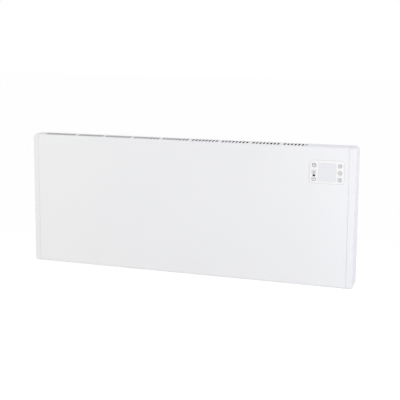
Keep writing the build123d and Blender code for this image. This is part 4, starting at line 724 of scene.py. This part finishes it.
# Line round the fascia's rim, laid on as a pale grey print: painted shade along its edge.
bm = bmesh.new()
place = on_fascia(fascia_middle.x, fascia_middle.z)
line_edges = []
for inset in (0, LINE_WIDTH):
    line_width, line_height = (side - 2 * (LINE_INSET + inset) for side in full)
    line_edges += loop(bm, place, line_width, line_height, LINE_CORNER - inset, CORNER_LINE_STEPS)
bmesh.ops.bridge_loops(bm, edges=line_edges)
printed("fascia_edge_shade_print", bm, pale_edge_shade_ink, "heater", "fascia_film")


# ---------------------------------------------------------------------------------------------
# Keys. Six round caps in one colour with the fascia, each with a flange behind it and a stem
# that reaches its switch. Their symbols are plain strokes, grey at the left and white on a grey
# disc at the right.

KEY_EDGE = 0.3 * MM
KEY_EDGE_SHAPE = ((1, 0), (0.4, 0.1), (0, 0.6))
KEY_FLANGE_RADIUS = 7.1 * MM
KEY_FLANGE = 1 * MM
KEY_FLANGE_GAP = 0.1 * MM
FASCIA_THICKNESS = 2.4 * MM
KEY_STEM_RADIUS = 1.7 * MM
KEY_STEPS = 48
RING_OUTER = 5.9 * MM
RING_STEPS = 48
REVERSED_KEYS = ("timer", "plus", "minus")

# Satin ABS key cap.
key_abs, tree, shader = finish("key_abs_white", "F3F2F0", IOR=1.53)
relief(tree, shader, 0.4 * MM, 0.008 * MM)
drift(tree, shader, "Roughness", 8 * MM, 0.32, 0.42)


def ring(bm, place, outer, inner, gap=0):
    """Printed ring, open at its top by a gap in degrees."""
    loops = []
    for radius in (outer, inner):
        verts = bmesh.ops.create_circle(bm, segments=RING_STEPS, radius=radius)["verts"]
        loops += ordered(edge for vert in verts for edge in vert.link_edges)
    faces = bmesh.ops.bridge_loops(bm, edges=loops)["faces"]
    opened = [f for f in faces
              if math.degrees(Vector((0, 1)).angle(f.calc_center_median().xy)) < gap / 2]
    verts = ordered(vert for edge in loops for vert in edge.verts)
    bmesh.ops.transform(bm, matrix=place, verts=verts)
    bmesh.ops.delete(bm, geom=opened, context="FACES")


def bar(bm, place, x, y, width, height, turned=0):
    """Printed stroke."""
    spot = place @ Matrix.Translation((x, y, 0)) @ Matrix.Rotation(math.radians(turned), 4, "Z")
    shape = spot @ Matrix.Diagonal((width, height, 1, 1))
    bmesh.ops.create_grid(bm, x_segments=1, y_segments=1, size=0.5, matrix=shape)


def cross(bm, place, length, width, turned=0):
    """Two printed strokes that cross: a whole one and the two ends of the other."""
    bar(bm, place, 0, 0, length, width, turned)
    aside = place @ Matrix.Rotation(math.radians(turned), 4, "Z")
    for side in (-1, 1):
        bar(bm, aside, 0, side * (length + width) / 4, width, (length - width) / 2)


def strokes(bm, name, place):
    """Generic symbol of one key, in strokes."""
    if name == "mode":
        ring(bm, place, RING_OUTER, inner=4.3 * MM)
        bar(bm, place, 0, 0.5 * MM, width=8.2 * MM, height=1.6 * MM)
    elif name == "cancel":
        ring(bm, place, RING_OUTER, inner=5 * MM)
        cross(bm, place, length=5 * MM, width=2.6 * MM, turned=45)
    elif name == "power":
        ring(bm, place, RING_OUTER, inner=4.6 * MM, gap=40)
        bar(bm, place, 0, 0, width=4.2 * MM, height=2.6 * MM)
    elif name == "timer":
        bar(bm, place, 0, 0, width=2.4 * MM, height=2.4 * MM)
    elif name == "plus":
        cross(bm, place, length=5.6 * MM, width=0.9 * MM)
    else:
        bar(bm, place, 0, 0, width=5.6 * MM, height=1.1 * MM)


for name in KEY_NAMES:
    node = name + "_button"
    key_low, key_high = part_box(node)
    middle = centre_of(node)
    depth = key_high.y - key_low.y
    flange_back = FASCIA_THICKNESS + KEY_FLANGE_GAP + KEY_FLANGE + (fascia_face - key_low.y)
    flange_front = flange_back - KEY_FLANGE
    outline = [(0, 0)]
    outline += [(KEY_RADIUS - KEY_EDGE * inwards, -KEY_EDGE * down)
                for inwards, down in KEY_EDGE_SHAPE]
    outline += [(KEY_RADIUS, -flange_front), (KEY_FLANGE_RADIUS, -flange_front),
                (KEY_FLANGE_RADIUS, -flange_back), (KEY_STEM_RADIUS, -flange_back),
                (KEY_STEM_RADIUS, -depth), (0, -depth)]
    bm = bmesh.new()
    turn(bm, outline, KEY_STEPS, on_fascia(middle.x, middle.z, key_low.y))
    bmesh.ops.recalc_face_normals(bm, faces=bm.faces)
    cap = piece(name + "_key_cap", bm, key_abs, name + "_key", "key_plastic", node)
    cap.data.set_sharp_from_angle(angle=math.radians(TURNED_SHARP_ANGLE))
    reversed_out = name in REVERSED_KEYS
    if reversed_out:
        bm = bmesh.new()
        bmesh.ops.create_circle(bm, cap_ends=True, segments=RING_STEPS, radius=RING_OUTER,
                                matrix=on_fascia(middle.x, middle.z, key_low.y))
        printed(name + "_key_disc", bm, disc_ink, name + "_key")
    bm = bmesh.new()
    strokes(bm, name, on_fascia(middle.x, middle.z, key_low.y - reversed_out * PRINT_THICKNESS))
    printed(name + "_key_print", bm, white_ink if reversed_out else grey_ink, name + "_key")


# ---------------------------------------------------------------------------------------------
# Display. A milky acrylic pane flush with the fascia over an unlit liquid crystal display, pale
# blue grey, and the round smoked lens of the infrared receiver beside the keys, with a black
# frame printed round it.

EYE_DOME = 0.35 * MM
EYE_SHAPE = ((0.45, 0.15), (0.75, 0.5), (1, 1))
EYE_STEPS = 32
EYE_PRINT_WIDTH = 7.6 * MM
EYE_PRINT_HEIGHT = 5.9 * MM

# Cast acrylic with a milky tint, which hides the unlit display behind it.
acrylic, tree, shader = finish("acrylic_pane", "EFEFF1", Roughness=0.2, IOR=1.49, Alpha=0.93)
relief(tree, shader, 12 * MM, 0.01 * MM)

# Reflective display film, unlit.
display_film, tree, shader = finish("unlit_display_film", "E4E5E8", Roughness=0.35)
tint(tree, shader, 25 * MM, "E1E2E6", "E6E7EA")

# Smoked polycarbonate: near black, with a hard coat that reflects little.
smoked_lens, tree, shader = finish("smoked_polycarbonate", "070608", Roughness=0.15, IOR=1.3)
relief(tree, shader, 2 * MM, 0.002 * MM)


def dress(material, *names):
    """Give CAD nodes their finish."""
    for name in names:
        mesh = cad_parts[name].data
        mesh.materials.clear()
        mesh.materials.append(material)


bm = bmesh.new()
eye_depth = size_of("infrared_window").y
eye_outline = [(0, 0)]
eye_outline += [(EYE_RADIUS * across, -EYE_DOME * down) for across, down in EYE_SHAPE]
eye_outline += [(EYE_RADIUS, -eye_depth), (0, -eye_depth)]
eye_place = on_fascia(eye_middle.x, eye_middle.z)
turn(bm, eye_outline, EYE_STEPS, eye_place)
bmesh.ops.recalc_face_normals(bm, faces=bm.faces)
eye = piece("receiver_lens", bm, smoked_lens, "heater", "dark_lens", "infrared_window")
eye.data.set_sharp_from_angle(angle=math.radians(TURNED_SHARP_ANGLE))
bm = bmesh.new()
frame_edges = round_loop(bm, eye_place, EYE_PRINT_WIDTH, EYE_PRINT_HEIGHT, CORNER_LINE_STEPS)
frame_edges += round_loop(bm, eye_place, eye_across, eye_across, CORNER_LINE_STEPS)
bmesh.ops.bridge_loops(bm, edges=frame_edges)
printed("receiver_frame_print", bm, black_ink, "heater", "fascia_film")
dress(acrylic, "display_window")
dress(display_film, "display_glass", "display_backlight")


# ---------------------------------------------------------------------------------------------
# Wall brackets and the sheets inside. Folded from hot-dip galvanised steel, which keeps its
# spangle: flat crystals of zinc in slightly different greys.

SPANGLE = 9 * MM
galvanised, tree, shader = finish("galvanised_steel", "B9BCBF", Metallic=1.0)
place = add(tree, "TexCoord", {})
crystals = add(tree, "TexVoronoi", {"Scale": 1 / SPANGLE, "Randomness": 1.0},
               {"Vector": place.outputs["Object"]})
tone = add(tree, "SeparateColor", {}, {"Color": crystals.outputs["Color"]})
shade = add(tree, "Mix", {"data_type": "RGBA", 6: linear("AEB2B5"), 7: linear("C6C9CC")},
            {0: tone.outputs[0]})
tree.links.new(shade.outputs[2], shader.inputs["Base Color"])
gloss = add(tree, "MapRange", {"To Min": 0.3, "To Max": 0.5}, {"Value": tone.outputs[1]})
tree.links.new(gloss.outputs["Result"], shader.inputs["Roughness"])
dress(galvanised, "left_wall_bracket", "right_wall_bracket", "control_bay_partition",
      "rear_heat_shield", "element_bracket", "fuse_clip")


# ---------------------------------------------------------------------------------------------
# Heating elements. Extruded aluminium fins pressed on sheathed rods, which have turned straw and
# brown where they run hot, with ceramic bushes at their ends.

extruded, tree, shader = finish("extruded_aluminium", "C6C7C9", Metallic=1.0)
relief(tree, shader, 0.5 * MM, 0.02 * MM, 2.0, (0.02, 1, 1))
drift(tree, shader, "Roughness", 30 * MM, 0.32, 0.5)

heated_steel, tree, shader = finish("heat_tinted_steel", "8A7C70", Metallic=1.0)
tint(tree, shader, 40 * MM, "7A6A5E", "9A8E84")
drift(tree, shader, "Roughness", 12 * MM, 0.35, 0.55)

steatite, tree, shader = finish("steatite_ceramic", "E6E0D2", IOR=1.6)
relief(tree, shader, 0.4 * MM, 0.02 * MM)
drift(tree, shader, "Roughness", 5 * MM, 0.55, 0.7)

brass, tree, shader = finish("tinned_brass", "C9B37A", Metallic=1.0)
relief(tree, shader, 0.3 * MM, 0.006 * MM)
drift(tree, shader, "Roughness", 3 * MM, 0.25, 0.4)

dress(extruded, "lower_element_fins", "upper_element_fins")
dress(heated_steel, "lower_element_rod", "upper_element_rod")
dress(steatite, "element_bushes")
dress(brass, "element_terminals", "fuse_holders", "switch_lugs", "earth_stud", "earth_nut")
dress(bare_aluminium, "thermal_fuse")


# ---------------------------------------------------------------------------------------------
# Boards and wiring in the control bay. Green glass-fibre boards with moulded parts, natural
# nylon fittings and insulated leads.

solder_mask, tree, shader = finish("solder_mask_green", "14522A", Roughness=0.3)
tint(tree, shader, 6 * MM, "104824", "1A5E32")
relief(tree, shader, 1.2 * MM, 0.02 * MM)

phenolic, tree, shader = finish("moulded_phenolic_black", "17171A")
relief(tree, shader, 0.5 * MM, 0.02 * MM)
drift(tree, shader, "Roughness", 6 * MM, 0.4, 0.55)

relay_case, tree, shader = finish("relay_case_blue", "1E4C93")
relief(tree, shader, 0.6 * MM, 0.01 * MM)
drift(tree, shader, "Roughness", 8 * MM, 0.28, 0.4)

winding_tape, tree, shader = finish("winding_tape_yellow", "D9B429")
relief(tree, shader, 1.5 * MM, 0.05 * MM, 2.0, (1, 1, 0.1))
drift(tree, shader, "Roughness", 6 * MM, 0.25, 0.4)

nylon, tree, shader = finish("natural_nylon", "DCD8C8", IOR=1.53)
relief(tree, shader, 0.5 * MM, 0.015 * MM)
drift(tree, shader, "Roughness", 6 * MM, 0.4, 0.55)

fuse_tube, tree, shader = finish("fuse_glass", "DDE6E6", Roughness=0.05, IOR=1.5, Alpha=0.5)
relief(tree, shader, 4 * MM, 0.005 * MM)

silicone, tree, shader = finish("silicone_sleeve_white", "D9D9D9")
relief(tree, shader, 0.6 * MM, 0.03 * MM)
drift(tree, shader, "Roughness", 10 * MM, 0.5, 0.65)

blue_lead, tree, shader = finish("lead_insulation_blue", "2458A0")
relief(tree, shader, 0.6 * MM, 0.02 * MM)
drift(tree, shader, "Roughness", 10 * MM, 0.4, 0.55)

flat_cable, tree, shader = finish("flat_cable_grey", "9FA0A3")
relief(tree, shader, 1.27 * MM, 0.1 * MM, 0.0, (1, 0.05, 0.05))
drift(tree, shader, "Roughness", 10 * MM, 0.4, 0.5)

dress(solder_mask, "display_board", "power_board")
dress(phenolic, "thermal_cutout", "tact_switches", "infrared_receiver", "supply_capacitors")
dress(relay_case, "power_relays")
dress(winding_tape, "supply_transformer")
dress(nylon, "board_standoffs", "board_connectors", "terminal_block", "sensor_collar")
dress(fuse_tube, "mains_fuse")
dress(silicone, "element_leads")
dress(blue_lead, "mains_leads")
dress(flat_cable, "display_ribbon")
dress(bare_aluminium, "radio_module")
dress(zinc_plate, "housing_screws", "board_screws", "terminal_screws")
dress(moulded_white, "display_housing")


# ---------------------------------------------------------------------------------------------
# Underside fittings. The main switch and the cord gland are black glass-filled nylon with a fine
# eroded grain, and the room sensor looks out beside them in its metal sheath.

black_nylon, tree, shader = finish("black_glass_filled_nylon", "1B1B1C", IOR=1.53)
relief(tree, shader, 0.45 * MM, 0.025 * MM, 3.0)
drift(tree, shader, "Roughness", 12 * MM, 0.45, 0.6)

dress(black_nylon, "switch_housing", "switch_rocker", "cord_gland", "gland_nut")
dress(zinc_plate, "room_sensor")


# ---------------------------------------------------------------------------------------------
# Studio. A pale floor well below the heater, as it hangs, an even white surround that also shows
# in reflections, and soft lamps at the left front, the right, behind, behind right and above. The
# one behind stands level with the heater and lights nothing but its back.

FLOOR_DROP = 0.95
FLOOR_SIZE = 60
FLOOR_GLOW = 1.06
FLOOR_GLOW_SHARE = 0.9
SURROUND_LEVEL = 0.355
LAMP_SIZE = 0.5
FILL_PLACE = Vector((-1.72, -2.56, 1.3))
FILL_POWER = 47
SIDE_PLACE = Vector((1.57, -0.86, 0.35))
SIDE_POWER = 11.6
REAR_PLACE = Vector((1.67, 1.28, 1.05))
REAR_POWER = 4.3
BACK_PLACE = Vector((0, 3.2, 0))
BACK_POWER = 36
TOP_PLACE = Vector((0.2, 0.6, 2.6))
TOP_SIZE = 2.0
TOP_POWER = 19


def seen_directly(tree):
    """1 for rays that show the surround: from the camera, by reflection or through glass."""
    path = add(tree, "LightPath", {})
    straight = add(tree, "Math", {"operation": "ADD"}, {0: path.outputs["Is Camera Ray"],
                                                         1: path.outputs["Is Glossy Ray"]})
    both = add(tree, "Math", {"operation": "ADD", "use_clamp": True},
               {0: straight.outputs[0], 1: path.outputs["Is Transmission Ray"]})
    return both.outputs[0]


world = bpy.data.worlds.new("white_surround")
bpy.context.scene.world = world
world.use_nodes = True
tree = world.node_tree
tree.nodes.clear()
lighting = add(tree, "Background", {"Color": (1, 1, 1, 1), "Strength": SURROUND_LEVEL})
backdrop = add(tree, "Background", {"Color": (1, 1, 1, 1), "Strength": 1.0})
chosen = add(tree, "MixShader", {},
             {0: seen_directly(tree), 1: lighting.outputs[0], 2: backdrop.outputs[0]})
add(tree, "OutputWorld", {}, {"Surface": chosen.outputs[0]})

floor_paint, tree, shader = finish("floor_matt_white", "F0F0F0", Roughness=0.9)
glow = add(tree, "Emission", {"Color": (1, 1, 1, 1), "Strength": FLOOR_GLOW})
share = add(tree, "Math", {"operation": "MULTIPLY", 1: FLOOR_GLOW_SHARE}, {0: seen_directly(tree)})
output = tree.nodes["Material Output"]
shown = add(tree, "MixShader", {}, {0: share.outputs[0], 1: shader.outputs[0], 2: glow.outputs[0]})
tree.links.new(shown.outputs[0], output.inputs["Surface"])
bm = bmesh.new()
bmesh.ops.create_grid(bm, x_segments=1, y_segments=1, size=FLOOR_SIZE / 2,
                      matrix=Matrix.Translation((0, 0, -FLOOR_DROP)))
floor_mesh = bpy.data.meshes.new("floor")
bm.to_mesh(floor_mesh)
bm.free()
floor_mesh.materials.append(floor_paint)
floor = bpy.data.objects.new("floor", floor_mesh)
bpy.context.scene.collection.objects.link(floor)


def soft_lamp(name, place, size, power, colour):
    """Square lamp that looks at the middle of the heater and leaves no highlight on it."""
    lamp = bpy.data.lights.new(name, "AREA")
    lamp.size = size
    lamp.energy = power
    lamp.color = linear(colour)[:3]
    made = bpy.data.objects.new(name, lamp)
    aim = (-place).to_track_quat("-Z", "Y").to_matrix().to_4x4()
    made.matrix_world = Matrix.Translation(place) @ aim
    made.visible_glossy = False
    bpy.context.scene.collection.objects.link(made)


soft_lamp("fill_lamp", FILL_PLACE, LAMP_SIZE, FILL_POWER, "FFFFFD")
soft_lamp("side_lamp", SIDE_PLACE, LAMP_SIZE, SIDE_POWER, "F4F6FF")
soft_lamp("rear_lamp", REAR_PLACE, LAMP_SIZE, REAR_POWER, "F4F6FF")
soft_lamp("back_lamp", BACK_PLACE, LAMP_SIZE, BACK_POWER, "FFFFFF")
soft_lamp("top_lamp", TOP_PLACE, TOP_SIZE, TOP_POWER, "F4F0FF")


# ---------------------------------------------------------------------------------------------
# Camera. To the right of the middle and a little above, as the photograph was taken.

CAMERA_PLACE = Vector((0.75942, -2.32649, 0.48846))
CAMERA_YAW = 17.634
CAMERA_PITCH = 7.567
CAMERA_ROLL = 0.365
CAMERA_LENS = 73.155
CAMERA_SHIFT = -0.125
CAMERA_SENSOR = 36

camera = bpy.data.cameras.new("camera")
camera.sensor_width = CAMERA_SENSOR
camera.lens = CAMERA_LENS
camera.shift_y = CAMERA_SHIFT
viewer = bpy.data.objects.new("camera", camera)
viewer.matrix_world = (Matrix.Translation(CAMERA_PLACE)
                       @ Matrix.Rotation(math.radians(CAMERA_YAW), 4, "Z")
                       @ Matrix.Rotation(math.radians(90 - CAMERA_PITCH), 4, "X")
                       @ Matrix.Rotation(math.radians(CAMERA_ROLL), 4, "Z"))
bpy.context.scene.collection.objects.link(viewer)
bpy.context.scene.camera = viewer
bpy.context.scene.view_settings.view_transform = "Standard"
